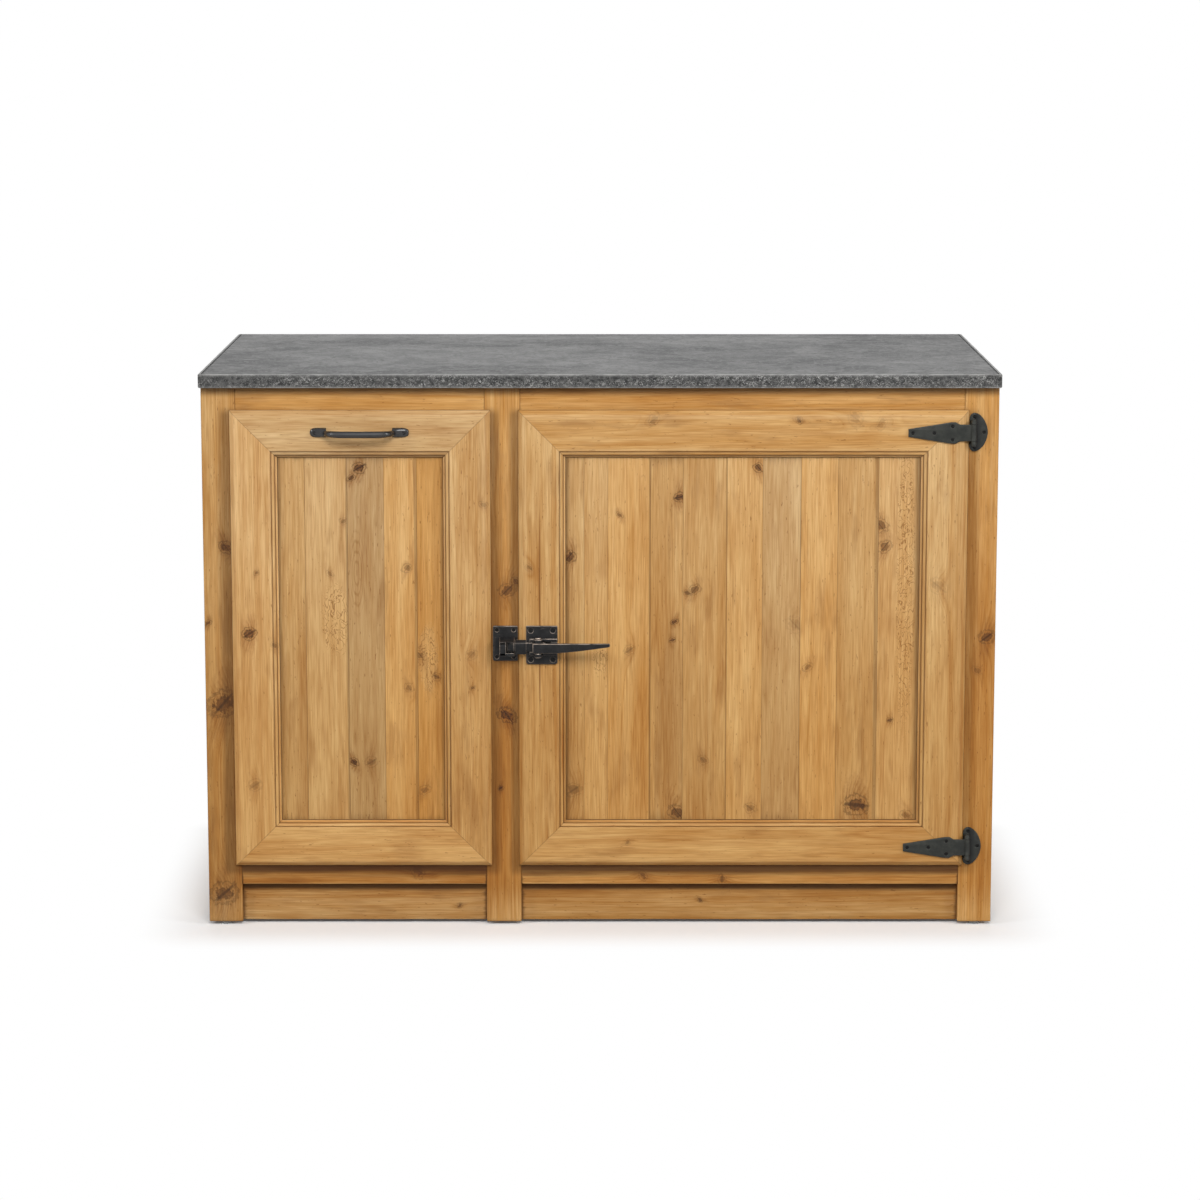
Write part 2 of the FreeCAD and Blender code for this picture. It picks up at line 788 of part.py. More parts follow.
hinge_x = door_right + dim.hinge_offset
hinge_out = dim.front_proud + dim.strap_thickness / 2
hinge_y = face - hinge_out


def hinge_strap(name, level):
    body = new_body(name)
    reach = dim.strap_length
    tip, wide, neck = dim.strap_tip_height / 2, dim.strap_wide_height / 2, dim.strap_neck_height / 2
    pad(body, name + "_plate", "XZ_Plane",
        [(0, -neck), (0, neck), (-dim.strap_neck_reach, neck), (-dim.strap_wide_reach, wide),
         (-reach, tip), (-reach, -tip), (-dim.strap_wide_reach, -wide), (-dim.strap_neck_reach, -neck)],
        dim.strap_thickness).Midplane = True
    rod(body, name + "_knuckle", dim.knuckle_radius, dim.strap_neck_height, (0, 0, -neck))
    rod(body, name + "_bore", dim.hinge_pin_radius + dim.bearing_fit, dim.strap_neck_height,
        (0, 0, -neck), "Subtractive")
    place(body, (hinge_x, hinge_y, level))
    return body


def hinge_leaf(name, level):
    body = new_body(name)
    radius, flat = dim.leaf_radius, -dim.leaf_back
    plate = pad(body, name + "_plate", "XZ_Plane", [(flat, radius), (flat, -radius)],
                dim.leaf_thickness, bend=(1, (flat, 0), True))
    doc.recompute()
    bind(plate.Profile[0], "AttachmentOffset.Base.z", -hinge_out)
    ear_low = dim.strap_neck_height / 2 + dim.moving_play
    for side, start in (("top", ear_low), ("foot", -ear_low - dim.hinge_ear_height)):
        block(body, "%s_ear_%s" % (name, side),
              (2 * dim.knuckle_radius, hinge_out - dim.leaf_thickness, dim.hinge_ear_height),
              (-dim.knuckle_radius, 0, start))
        rod(body, "%s_eye_%s" % (name, side), dim.knuckle_radius, dim.hinge_ear_height, (0, 0, start))
    rod(body, name + "_bore", dim.hinge_pin_radius + dim.pin_fit, 2 * radius,
        (0, 0, -radius), "Subtractive")
    place(body, (hinge_x, hinge_y, level))
    return body


def hinge_pin(name, level):
    body = new_body(name)
    half = dim.strap_neck_height / 2 + dim.moving_play + dim.hinge_ear_height
    rod(body, name + "_shank", dim.hinge_pin_radius, 2 * half, (0, 0, -half))
    for side, start in (("top", half), ("foot", -half - dim.hinge_pin_head_height)):
        rod(body, "%s_%s" % (name, side), dim.hinge_pin_head_radius, dim.hinge_pin_head_height,
            (0, 0, start))
    place(body, (hinge_x, hinge_y, level))
    return body


def build_hinges():
    strap_spots = [(-dim.strap_screw_tip, 0), (-dim.strap_screw_middle, 0),
                   (-dim.strap_screw_pair, dim.strap_screw_spread),
                   (-dim.strap_screw_pair, -dim.strap_screw_spread)]
    leaf_spots = [(dim.leaf_screw_near, dim.leaf_screw_spread), (dim.leaf_screw_far, 0),
                  (dim.leaf_screw_near, -dim.leaf_screw_spread)]
    strap_face = front_face - dim.strap_thickness
    leaf_face = face - dim.leaf_thickness
    pins = []
    found = {"strap": ([], []), "leaf": ([], [])}
    for name, level in (("upper", front_high - dim.upper_hinge_inset),
                        ("lower", front_low + dim.lower_hinge_inset)):
        for kind, spots, plane, make in (("strap", strap_spots, strap_face, hinge_strap),
                                         ("leaf", leaf_spots, leaf_face, hinge_leaf)):
            places = [(hinge_x + across, plane, level + up) for across, up in spots]
            screws, bores = screw_links("%s_%s" % (name, kind), places)
            node = "%s_hinge_%s" % (name, kind)
            bored(node, make(node, level), bores)
            found[kind][0].extend(screws)
            found[kind][1].extend(bores)
        pins.append(hinge_pin("hinge_pin_" + name, level))
    group("hinge_pins", pins)
    bored("right_stile", nodes["right_stile"], found["leaf"][1])
    for member in ("door_top_rail", "door_bottom_rail", "door_hinge_stile"):
        bored(member, nodes[member], found["strap"][1])
    return found["strap"][0], found["leaf"][0]


# Latch: plate with two lugs, upright pin, lever, sliding bolt, and the keeper on the centre stile

pivot_x = door_left + dim.pivot_inset
pivot_y = front_face - dim.pivot_out
plate_left = dim.latch_plate_inset - dim.pivot_inset
plate_face = dim.pivot_out - dim.latch_plate_thickness
bolt_front = plate_face - dim.moving_play - dim.bolt_thickness


def latch_body():
    body = new_body("latch_body")
    plate_low = dim.latch_plate_rise - dim.latch_plate_height / 2
    plate = block(body, "latch_plate",
                  (dim.latch_plate_width, dim.latch_plate_thickness, dim.latch_plate_height),
                  (plate_left, plate_face, plate_low))
    doc.recompute()
    upright = [index for index, edge in enumerate(plate.Shape.Edges, start=1)
               if edge.BoundBox.XLength + edge.BoundBox.ZLength < dim.latch_plate_thickness.value / 2]
    corners = body.newObject("PartDesign::Fillet", "latch_plate_corners")
    corners.Base = (plate, ["Edge%d" % index for index in upright])
    bind(corners, "Radius", dim.latch_corner)
    lug_low = dim.hub_height / 2 + dim.moving_play
    for side, start in (("top", lug_low), ("foot", -lug_low - dim.lug_height)):
        block(body, "latch_lug_" + side, (2 * dim.lug_radius, plate_face, dim.lug_height),
              (-dim.lug_radius, 0, start))
        rod(body, "latch_eye_" + side, dim.lug_radius, dim.lug_height, (0, 0, start))
    # the bolt runs between two guides that a stop block joins at the tail
    guide_low = dim.bolt_height / 2 + dim.moving_play
    guide_depth = plate_face - bolt_front
    for side, start in (("top", guide_low), ("foot", -guide_low - dim.guide_height)):
        block(body, "latch_guide_" + side,
              (dim.latch_plate_width - dim.guide_start, guide_depth, dim.guide_height),
              (plate_left + dim.guide_start, bolt_front, start))
    block(body, "latch_guide_stop", (dim.guide_stop, guide_depth, 2 * guide_low),
          (plate_left + dim.latch_plate_width - dim.guide_stop, bolt_front, -guide_low))
    rod(body, "latch_bore", dim.pivot_pin_radius + dim.pin_fit, dim.latch_plate_height,
        (0, 0, -dim.latch_plate_height / 2), "Subtractive")
    place(body, (pivot_x, pivot_y, dim.latch_level))
    edge = dim.latch_screw_edge
    start = door_left + dim.latch_plate_inset
    low = dim.latch_level + plate_low
    spots = [(start + across, front_face - dim.latch_plate_thickness, low + up)
             for across in (edge, dim.latch_plate_width - edge)
             for up in (edge, dim.latch_plate_height - edge)]
    screws, bores = screw_links("latch", spots)
    bored("latch_body", body, bores)
    bored("door_latch_stile", nodes["door_latch_stile"], bores)
    return screws


def latch_pin():
    body = new_body("latch_pin")
    half = dim.hub_height / 2 + dim.moving_play + dim.lug_height
    rod(body, "latch_pin_shank", dim.pivot_pin_radius, 2 * half, (0, 0, -half))
    rod(body, "latch_pin_head", dim.pivot_head_radius, dim.pivot_head_height, (0, 0, half))
    rod(body, "latch_pin_foot", dim.pivot_head_radius, dim.pivot_head_height,
        (0, 0, -half - dim.pivot_head_height))
    place(body, (pivot_x, pivot_y, dim.latch_level))
    finish("latch_pin", body)


def latch_lever():
    body = new_body("latch_lever")
    half = dim.hub_height / 2
    tip_high = dim.lever_tip_rise + dim.lever_tip_height / 2
    tip_low = dim.lever_tip_rise - dim.lever_tip_height / 2
    arm = pad(body, "lever_arm", "XZ_Plane",
              [(-dim.lever_heel, -half), (dim.lever_length, tip_low),
               (dim.lever_length, tip_high), (-dim.lever_heel, half)],
              dim.lever_thickness)
    doc.recompute()
    bind(arm.Profile[0], "AttachmentOffset.Base.z", dim.lever_setback)
    rod(body, "lever_hub", dim.hub_radius, dim.hub_height, (0, 0, -half))
    block(body, "lever_cam", (dim.cam_width, dim.cam_reach, dim.cam_height),
          (-dim.cam_width / 2, 0, -dim.cam_height / 2))
    rod(body, "lever_bore", dim.pivot_pin_radius + dim.bearing_fit, dim.hub_height,
        (0, 0, -half), "Subtractive")
    place(body, (pivot_x, pivot_y, dim.latch_level))
    finish("latch_lever", body)


def latch_bolt():
    body = new_body("latch_bolt")
    block(body, "bolt_bar", (dim.bolt_nose + dim.bolt_tail, dim.bolt_thickness, dim.bolt_height),
          (-dim.bolt_nose, bolt_front, -dim.bolt_height / 2))
    # a taller shoulder with a sloped roof fills the way from the keeper to the guides
    left = dim.shoulder_play - dim.keeper_gap - dim.catch_inset - dim.pivot_inset
    right = plate_left + dim.guide_start - dim.bolt_travel - dim.moving_play
    half = dim.shoulder_height / 2
    back = bolt_front + dim.bolt_thickness
    shoulder = pad(body, "bolt_shoulder", "YZ_Plane",
                   [(bolt_front, -half), (back, -half), (back, half), (back - dim.moving_play, half),
                    (bolt_front, half - dim.shoulder_slope)], right - left)
    doc.recompute()
    bind(shoulder.Profile[0], "AttachmentOffset.Base.z", left)
    wide = dim.cam_width / 2 + dim.cam_play
    high = dim.cam_height / 2 + dim.cam_play
    deep = dim.cam_reach + dim.moving_play
    block(body, "bolt_notch", (2 * wide, deep - bolt_front, 2 * high),
          (-wide, bolt_front, -high), "Subtractive")
    place(body, (pivot_x, pivot_y, dim.latch_level))
    finish("latch_bolt", body)


def latch_keeper():
    body = new_body("latch_keeper")
    end = door_left - dim.keeper_gap
    start = end - dim.keeper_width
    low = dim.latch_level + dim.keeper_rise - dim.keeper_height / 2
    block(body, "keeper_plate", (dim.keeper_width, dim.keeper_thickness, dim.keeper_height),
          (start, face - dim.keeper_thickness, low))
    gap = dim.bolt_height / 2 + dim.cam_play
    wall = dim.catch_wall
    catch_left = end - dim.catch_inset - dim.catch_width
    stand = dim.catch_out - dim.keeper_thickness
    for name, width, height, up in (("top", dim.catch_width, wall, gap),
                                    ("foot", dim.catch_width, wall, -gap - wall),
                                    ("cheek", dim.catch_cheek, 2 * gap, -gap)):
        block(body, "keeper_" + name, (width, stand, height),
              (catch_left, face - dim.catch_out, dim.latch_level + up))
    edge = dim.keeper_screw_edge
    spots = [(start + across, face - dim.keeper_thickness, low + up)
             for across in (edge, dim.keeper_width - edge)
             for up in (edge, dim.keeper_height - edge)]
    screws, bores = screw_links("keeper", spots)
    bored("latch_keeper", body, bores)
    bored("centre_stile", nodes["centre_stile"], bores)
    return screws


# The whole cabinet

def sizes_of(prefix, count):
    return [getattr(dim, "%s_%s" % (prefix, BOARD_LETTERS[index])) for index in range(count)]


def build_cabinet():
    build_face_frame()
    build_carcass()
    build_glides()
    build_front("drawer", ("left_stile", "right_stile"), drawer_left, drawer_right,
                sizes_of("drawer_board", len(DRAWER_BOARDS)))
    build_drawer_box()
    build_slides()
    build_pull()
    build_front("door", ("latch_stile", "hinge_stile"), door_left, door_right,
                sizes_of("door_board", len(DOOR_BOARDS)))
    strap_screws, leaf_screws = build_hinges()
    latch_screws = latch_body()
    latch_pin()
    latch_lever()
    latch_bolt()
    keeper_screws = latch_keeper()
    group("door_screws", strap_screws + latch_screws)
    group("carcass_screws", leaf_screws + keeper_screws)


def check_and_write():
    doc.recompute()
    for item in doc.Objects:
        if "Invalid" in item.State or "Error" in item.State:
            raise RuntimeError("%s failed: %s" % (item.Label, item.State))
    for name, item in nodes.items():
        if item.Shape.isNull() or not item.Shape.isValid() or not item.Shape.Solids:
            raise RuntimeError("%s has no sound solid" % name)
    os.makedirs("parts", exist_ok=True)
    for name, item in nodes.items():
        item.Shape.exportStep("parts/%s.step" % name)
    print("%d pieces written" % len(nodes))


build_cabinet()
check_and_write()
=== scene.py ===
import json
import math
import random

import bmesh
import bpy
from mathutils import Matrix, Vector, noise
from mathutils.geometry import tessellate_polygon


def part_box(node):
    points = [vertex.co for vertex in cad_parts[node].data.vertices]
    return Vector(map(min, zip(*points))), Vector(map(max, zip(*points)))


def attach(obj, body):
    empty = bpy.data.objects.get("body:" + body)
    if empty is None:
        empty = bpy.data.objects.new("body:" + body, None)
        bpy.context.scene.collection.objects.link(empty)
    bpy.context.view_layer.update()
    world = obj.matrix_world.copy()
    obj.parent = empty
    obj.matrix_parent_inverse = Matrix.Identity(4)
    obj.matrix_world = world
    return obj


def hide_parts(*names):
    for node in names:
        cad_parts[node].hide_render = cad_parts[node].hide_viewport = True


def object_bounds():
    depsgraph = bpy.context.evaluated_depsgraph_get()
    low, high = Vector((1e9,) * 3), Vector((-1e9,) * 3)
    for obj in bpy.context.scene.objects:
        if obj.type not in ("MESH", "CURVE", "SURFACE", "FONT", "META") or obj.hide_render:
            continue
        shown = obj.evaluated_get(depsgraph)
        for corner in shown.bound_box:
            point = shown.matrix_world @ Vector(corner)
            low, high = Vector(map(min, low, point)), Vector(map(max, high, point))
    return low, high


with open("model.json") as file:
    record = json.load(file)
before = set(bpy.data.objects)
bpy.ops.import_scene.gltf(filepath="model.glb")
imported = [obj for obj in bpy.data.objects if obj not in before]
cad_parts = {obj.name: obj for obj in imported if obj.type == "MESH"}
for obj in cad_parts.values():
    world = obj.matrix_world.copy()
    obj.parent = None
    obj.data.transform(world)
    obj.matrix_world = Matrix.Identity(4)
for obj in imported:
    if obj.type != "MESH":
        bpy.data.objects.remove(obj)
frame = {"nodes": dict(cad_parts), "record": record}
cadLow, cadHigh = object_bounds()
mm = 0.001
cadNodes = frame["nodes"]
bodyOf = {node: body for body, held in frame["record"]["behaviour"]["bodies"].items() for node in held}
ways = {"right": Vector((1, 0, 0)), "left": Vector((-1, 0, 0)), "front": Vector((0, -1, 0)),
        "back": Vector((0, 1, 0)), "up": Vector((0, 0, 1)), "down": Vector((0, 0, -1))}
print("cabinet frame in,", len(cadNodes), "nodes")


class Bench:
    # the nodes of one material or world, with short ways to lay them
    def __init__(self, owner):
        owner.use_nodes = True
        self.owner = owner
        self.tree = owner.node_tree
        self.tree.nodes.clear()

    def plug(self, socket, value):
        if isinstance(value, bpy.types.NodeSocket):
            self.tree.links.new(value, socket)
        else:
            socket.default_value = value

    def node(self, kind, inputs=None, **settings):
        made = self.tree.nodes.new("ShaderNode" + kind)
        for key, value in settings.items():
            setattr(made, key, value)
        for key, value in (inputs or {}).items():
            self.plug(made.inputs[key], value)
        return made

    def calc(self, operation, *values, clamp=False):
        return self.node("Math", dict(enumerate(values)), operation=operation, use_clamp=clamp).outputs[0]

    def vec(self, operation, *values):
        made = self.node("VectorMath", dict(enumerate(values)), operation=operation)
        return made.outputs["Value" if operation == "LENGTH" else "Vector"]

    def chain(self, operation, values):
        total = values[0]
        for value in values[1:]:
            total = self.calc(operation, total, value)
        return total

    def times(self, *values):
        return self.chain("MULTIPLY", values)

    def plus(self, *values):
        return self.chain("ADD", values)

    def most(self, *values):
        return self.chain("MAXIMUM", values)

    def less(self, first, second):
        return self.calc("SUBTRACT", first, second)

    def apart(self, first, second):
        return self.calc("ABSOLUTE", self.less(first, second))

    def scaled(self, value, share, base, clamp=False):
        return self.calc("MULTIPLY_ADD", value, share, base, clamp=clamp)

    def around(self, value, size):   # a noise field centred on nought
        return self.times(self.less(value, 0.5), size)

    def stripes(self, value, start, end):   # lines in the middle of every whole step of a value
        return self.fade(self.apart(self.calc("FRACT", value), 0.5), start, end)

    def split(self, vector):
        return self.node("SeparateXYZ", {"Vector": vector}).outputs

    def mark(self, name):
        held = self.node("Attribute", attribute_name=name)
        across, depth, along = self.split(held.outputs["Vector"])
        return across, depth, along, held.outputs["Alpha"]

    def factor(self, name):
        return self.node("Attribute", attribute_name=name).outputs["Fac"]

    def spot(self):
        return self.node("TexCoord").outputs["Object"]

    def fade(self, value, start, end, low=0.0, high=1.0):
        return self.node("MapRange", {"Value": value, "From Min": start, "From Max": end, "To Min": low,
                                      "To Max": high}, interpolation_type="SMOOTHSTEP").outputs["Result"]

    def cloud(self, where, scale, detail=2.0, rough=0.5, bend=0.0):
        if isinstance(scale, tuple):   # stretched along the axes
            where, scale = self.vec("MULTIPLY", where, scale), 1.0
        return self.node("TexNoise", {"Vector": where, "Scale": scale, "Detail": detail, "Roughness": rough,
                                      "Distortion": bend}).outputs["Fac"]

    def blend(self, share, first, second, mode="MIX"):
        made = self.node("Mix", data_type="RGBA", blend_type=mode)
        for place, value in ((0, share), (6, first), (7, second)):
            self.plug(made.inputs[place], value)
        return made.outputs[2]

    def coats(self, colour, layers):
        for share, tint in layers:
            colour = self.blend(share, colour, tint)
        return colour

    def dimmed(self, colour, share):
        return self.node("VectorMath", {0: colour, "Scale": share}, operation="SCALE").outputs["Vector"]

    def ramp(self, value, stops):
        made = self.node("ValToRGB", {"Fac": value})
        bar = made.color_ramp.elements
        while len(bar) < len(stops):
            bar.new(0.5)
        for stop, (place, shade) in zip(bar, stops):
            stop.position = place
            stop.color = (shade, shade, shade, 1)
        return made.outputs["Color"]

    def direct(self):   # rays that come straight from the eye, or by way of a mirror or a pane
        rays = self.node("LightPath").outputs
        return self.most(rays["Is Camera Ray"], rays["Is Transmission Ray"], rays["Is Glossy Ray"])

    def skin(self, colour, rough, height, strength, deep, **others):
        bump = self.node("Bump", {"Height": height, "Strength": strength, "Distance": deep})
        inputs = {"Base Color": colour, "Roughness": rough, "Normal": bump.outputs["Normal"]}
        for key, value in others.items():
            inputs[{"shine": "Specular IOR Level", "metal": "Metallic"}[key]] = value
        return self.finish(self.node("BsdfPrincipled", inputs).outputs["BSDF"])

    def finish(self, surface, kind="OutputMaterial"):
        self.node(kind, {"Surface": surface})
        return self.owner


# waxed old pine, shared by every wooden piece
pineTints = {
    "pale": (0.66, 0.415, 0.178, 1), "honey": (0.55, 0.290, 0.090, 1), "amber": (0.40, 0.168, 0.036, 1),
    "russet": (0.23, 0.088, 0.020, 1), "knot": (0.045, 0.020, 0.009, 1), "ash": (0.53, 0.365, 0.195, 1),
    "orange": (0.56, 0.245, 0.040, 1), "grimeAndShade": (0.08, 0.034, 0.010, 1), "worm": (0.30, 0.145, 0.045, 1),
    "waxAndSheen": (0.70, 0.46, 0.22, 1), "heart": (0.14, 0.052, 0.019, 1), "smoke": (0.36, 0.180, 0.060, 1),
    "rust": (0.29, 0.118, 0.028, 1),
}
# lightness, gloss, depth of the grain, streaks, painted shadow under the slab, tint of the painted shade low
# down
pineLooks = {
    "pine_frame": {"light": 0.94, "rough": 0.47, "grain": 0.30, "streak": 0.9, "slabShade": 0.55,
                   "foot": (0.78, 0.65, 0.44, 1)},
    "pine_front": {"light": 1.0, "rough": 0.45, "grain": 0.26, "streak": 0.75, "slabShade": 0.0,
                   "foot": (0.88, 0.78, 0.60, 1)},
    "pine_panel": {"light": 0.97, "rough": 0.50, "grain": 0.30, "streak": 0.55, "slabShade": 0.0,
                   "foot": (0.92, 0.84, 0.67, 1)},
    "pine_carcass": {"light": 0.92, "rough": 0.55, "grain": 0.32, "streak": 0.9, "slabShade": 0.0,
                     "foot": (0.90, 0.82, 0.68, 1)},
}
pineStreaks = {   # width and length in metres, detail, roughness
    "broad": (0.045, 0.8, 2, 0.5), "patch": (0.032, 0.15, 3, 0.55), "band": (0.010, 0.30, 3, 0.55),
    "line": (0.0032, 0.13, 3, 0.55), "fibre": (0.0017, 0.045, 2, 0.5), "ragged": (0.0055, 0.008, 3, 0.65),
    "smoke": (0.024, 0.11, 3, 0.6), "dash": (0.0024, 0.011, 2, 0.5),
}
ringSet = {"step": 4.2 * mm, "uneven": 1.6, "years": 115, "sway": 0.034, "swayScale": (6, 6, 1.5),
           "lean": 0.026, "leanScale": (3, 3, 2.2),
           "late": ((0.0, 0.0), (0.45, 0.06), (0.84, 1.0), (0.94, 0.55), (1.0, 0.0))}
knotSet = {"lean": 0.35, "across": 0.74, "along": 0.86, "haloAlong": 0.46, "ragged": 1.5,
           "heart": (0.92, 0.62), "whorls": 2.6, "barkAt": 1.22, "pull": 1.5, "pullReach": 0.55}
wormSet = {"scale": (120, 120, 70), "turns": 5.0, "line": (0.17, 0.03), "loops": 3.4, "loop": (0.24, 0.04)}
pineLevels = {   # heights in metres between which a look comes or goes
    "frontFoot": (0.078, 0.092), "frontTop": (0.850, 0.832), "slabShade": (0.860, 0.871), "lowShade": (0.84, 0.24),
    "lowShadeFoot": (0.02, 0.075),
}
# lines along the moulding, in mm from the outer edge: middle, reach, core, strength. The dark lines are dirt
# and painted shade in the crevices, the pale ones wear and painted highlight.
mouldingGrimeAndShade = {"quirk": (66.2, 1.4, 0.42, 0.60), "fillet": (71.7, 1.1, 0.33, 0.85),
                "panel": (76.2, 1.5, 0.45, 0.9)}
mouldingWearAndSheen = {"bevel": (10.5, 6, 1, 0.34), "quirk": (62.8, 2.6, 0.65, 0.3),
                "fillet": (74.0, 1.3, 0.325, 0.3)}
knotMarks = ("knotA", "knotB", "knotC", "knotD")


def pineFinish(name, look):
    bench = Bench(bpy.data.materials.new(name))
    calc, vec, fade, blend, cloud = bench.calc, bench.vec, bench.fade, bench.blend, bench.cloud
    times, plus, most, less, apart = bench.times, bench.plus, bench.most, bench.less, bench.apart
    scaled, around, stripes = bench.scaled, bench.around, bench.stripes
    across, depth, along, mitred = bench.mark("grain")
    seed, pithAcross, pithDepth, tilt = bench.mark("board")
    light, warm, grey, contrast = bench.mark("tone")
    halfWide, stainDepth, halfLong = bench.mark("extent")[:3]
    reachRight, reachLeft, reachEnd, grimeAndShadeDepth = bench.mark("grimeAndShade")
    spot = bench.node("CombineXYZ", {"X": across, "Y": depth, "Z": along}).outputs[0]
    shift = bench.node("CombineXYZ", {"X": seed, "Y": times(seed, 0.37), "Z": times(seed, 1.9)}).outputs[0]
    moved = vec("ADD", spot, shift)
    broad, patch, band, line, fibre, ragged, smoke, dash = (
        cloud(moved, (1 / wide, 1 / wide, 1 / long), detail, rough)
        for wide, long, detail, rough in pineStreaks.values())
    ragged = less(ragged, 0.5)

    def oval(first, second):
        return calc("SQRT", plus(calc("POWER", first, 2), calc("POWER", second, 2)))

    def zone(mark):   # distance from the middle of an oval patch, one at its rim, and the patch's width
        middleAcross, middleAlong, wide, long = bench.mark(mark)
        return oval(calc("DIVIDE", less(across, middleAcross), wide),
                    calc("DIVIDE", less(along, middleAlong), long)), wide

    def coats(colour, *layers):
        return bench.coats(colour, [(share, pineTints[tint]) for share, tint in layers])

    # knots: dark heart with whorls, bark ring, checks, and rings pulled round them
    core, bark, halo, bulge, whorl = 0.0, 0.0, 0.0, 0.0, 0.0
    for number, mark in enumerate(knotMarks):
        knotAcross, knotAlong, knotSize, knotDepth = bench.mark(mark)
        sideways = calc("DIVIDE", less(across, knotAcross), knotSize)
        lengthways = calc("DIVIDE", less(along, knotAlong), knotSize)
        slant = calc("SINE", scaled(seed, 7.3, 2.1 * number))
        sideways = scaled(lengthways, times(slant, knotSet["lean"]), sideways)
        away = oval(times(sideways, knotSet["across"]), times(lengthways, knotSet["along"]))
        wide = oval(sideways, times(lengthways, knotSet["haloAlong"]))
        rough = scaled(ragged, knotSet["ragged"], away)
        heart = times(fade(rough, *knotSet["heart"]), knotDepth)
        core = most(core, heart)
        whorl = most(whorl, times(stripes(times(rough, knotSet["whorls"]), 0.12, 0.40), heart))
        ring = times(fade(apart(rough, knotSet["barkAt"]), 0.20, 0.05), 0.6)
        check = fade(calc("ABSOLUTE", scaled(sideways, slant, times(lengthways, 0.4))), 0.16, 0.04)
        check = times(check, fade(rough, 1.5, 1.0))
        bark = most(bark, times(most(ring, check), knotDepth))
        halo = most(halo, times(fade(scaled(ragged, 2.0, wide), 2.5, 0.6), knotDepth))
        swell = calc("POWER", math.e, times(calc("POWER", times(wide, knotSet["pullReach"]), 2), -1))
        bulge = scaled(times(swell, knotSize), knotSet["pull"], bulge)

    # growth rings of a leaning log, uneven from year to year
    sway = around(cloud(moved, ringSet["swayScale"], 2), ringSet["sway"])
    lean = around(cloud(moved, ringSet["leanScale"], 1), ringSet["lean"])
    ringAcross = plus(less(across, pithAcross), sway)
    ringDepth = plus(scaled(tilt, along, pithDepth), depth, lean)
    radius = plus(oval(ringAcross, ringDepth), bulge)
    years = bench.node("TexNoise", {"W": scaled(radius, ringSet["years"], times(seed, 5)), "Scale": 1.0,
                                    "Detail": 3.0, "Roughness": 0.6}, noise_dimensions="1D").outputs["Fac"]
    turns = plus(calc("DIVIDE", radius, ringSet["step"]), around(years, ringSet["uneven"]))
    late = times(bench.ramp(calc("FRACT", turns), ringSet["late"]), fade(years, 0.36, 0.66), contrast,
                 fade(patch, 0.30, 0.62, 0.35, 1.0))

    # colour of the clear wood
    streaky = look["streak"]
    body = plus(around(broad, 1.6 * streaky), 0.5, around(patch, 2.0 * streaky),
                times(around(years, 2.2 * streaky), contrast), around(band, 1.4 * streaky))
    colour = blend(calc("ADD", body, 0.0, clamp=True), pineTints["pale"], pineTints["honey"])
    colour = coats(
        colour, (times(late, 0.52), "amber"), (times(fade(line, 0.52, 0.68), 0.36), "amber"),
        (times(fade(body, 0.95, 1.5), 0.55), "amber"), (times(fade(line, 0.46, 0.28), 0.26), "pale"),
        (warm, "orange"), (grey, "ash"), (times(fade(smoke, 0.53, 0.74), 0.5), "smoke"),
        (times(fade(dash, 0.67, 0.74), 0.6), "russet"))

    # worm-eaten or flamed figure, old stains, knots
    outward, figureWide = zone("figure")
    flame = fade(figureWide, 0.0, -1 * mm)   # a width below nought asks for a flame instead of worm trails
    wormy = times(fade(scaled(ragged, 1.6, calc("POWER", outward, 2)), 1.1, 0.5), less(1.0, flame))
    trails = times(cloud(moved, wormSet["scale"], 1, 0.5, 0.8), wormSet["turns"])
    trails = times(stripes(trails, *wormSet["line"]), wormy)
    loops = plus(scaled(outward, wormSet["loops"], around(patch, 1.3)), around(line, 0.9))
    loops = times(stripes(loops, *wormSet["loop"]), fade(outward, 1.7, 0.8), flame)
    soaked = fade(plus(calc("POWER", zone("stain")[0], 2), around(band, 2.2)), 1.15, 0.1)
    swirl = times(halo, stripes(turns, 0.10, 0.42))
    colour = coats(
        colour, (times(loops, 0.50), "smoke"), (times(wormy, 0.35), "pale"), (times(trails, 0.85), "worm"),
        (times(soaked, stainDepth), "russet"), (times(halo, 0.5), "rust"), (times(swirl, 0.45), "russet"))
    heart = blend(fade(ragged, -0.05, 0.14), pineTints["knot"], pineTints["heart"])
    colour = blend(times(core, 0.94), colour, heart)
    colour = coats(colour, (times(whorl, 0.62), "rust"), (times(bark, 0.8), "knot"))

    # dirt along the arrises, at the ends and in the mitres, and painted shade where a proud front, a rail or
    # the moulding would shade a board
    uneven = plus(around(band, 0.9), 1.0)
    fromRim = plus(halfWide, across)
    toRight, toLeft = times(less(halfWide, across), uneven), times(fromRim, uneven)
    toEnd = less(less(halfLong, calc("ABSOLUTE", along)), times(mitred, fromRim))
    toEnd = times(toEnd, plus(around(line, 2.2), 1.0))
    level = bench.split(bench.spot())[2]
    beside = times(fade(level, *pineLevels["frontFoot"]), fade(level, *pineLevels["frontTop"]))
    dirtAndShade, paleArris = fade(toEnd, reachEnd, 0.0), 0.0
    # a wide dark band is painted shade: it stays beside the fronts, unless its reach is given below nought
    for gap, reach in ((toRight, reachRight), (toLeft, reachLeft)):
        narrow, past = fade(reach, 8 * mm, 4 * mm), fade(reach, 0.0, -1 * mm)
        wide = calc("ABSOLUTE", reach)
        dirtAndShade = most(dirtAndShade, times(fade(gap, wide, times(wide, 0.5)), most(beside, narrow, past)))
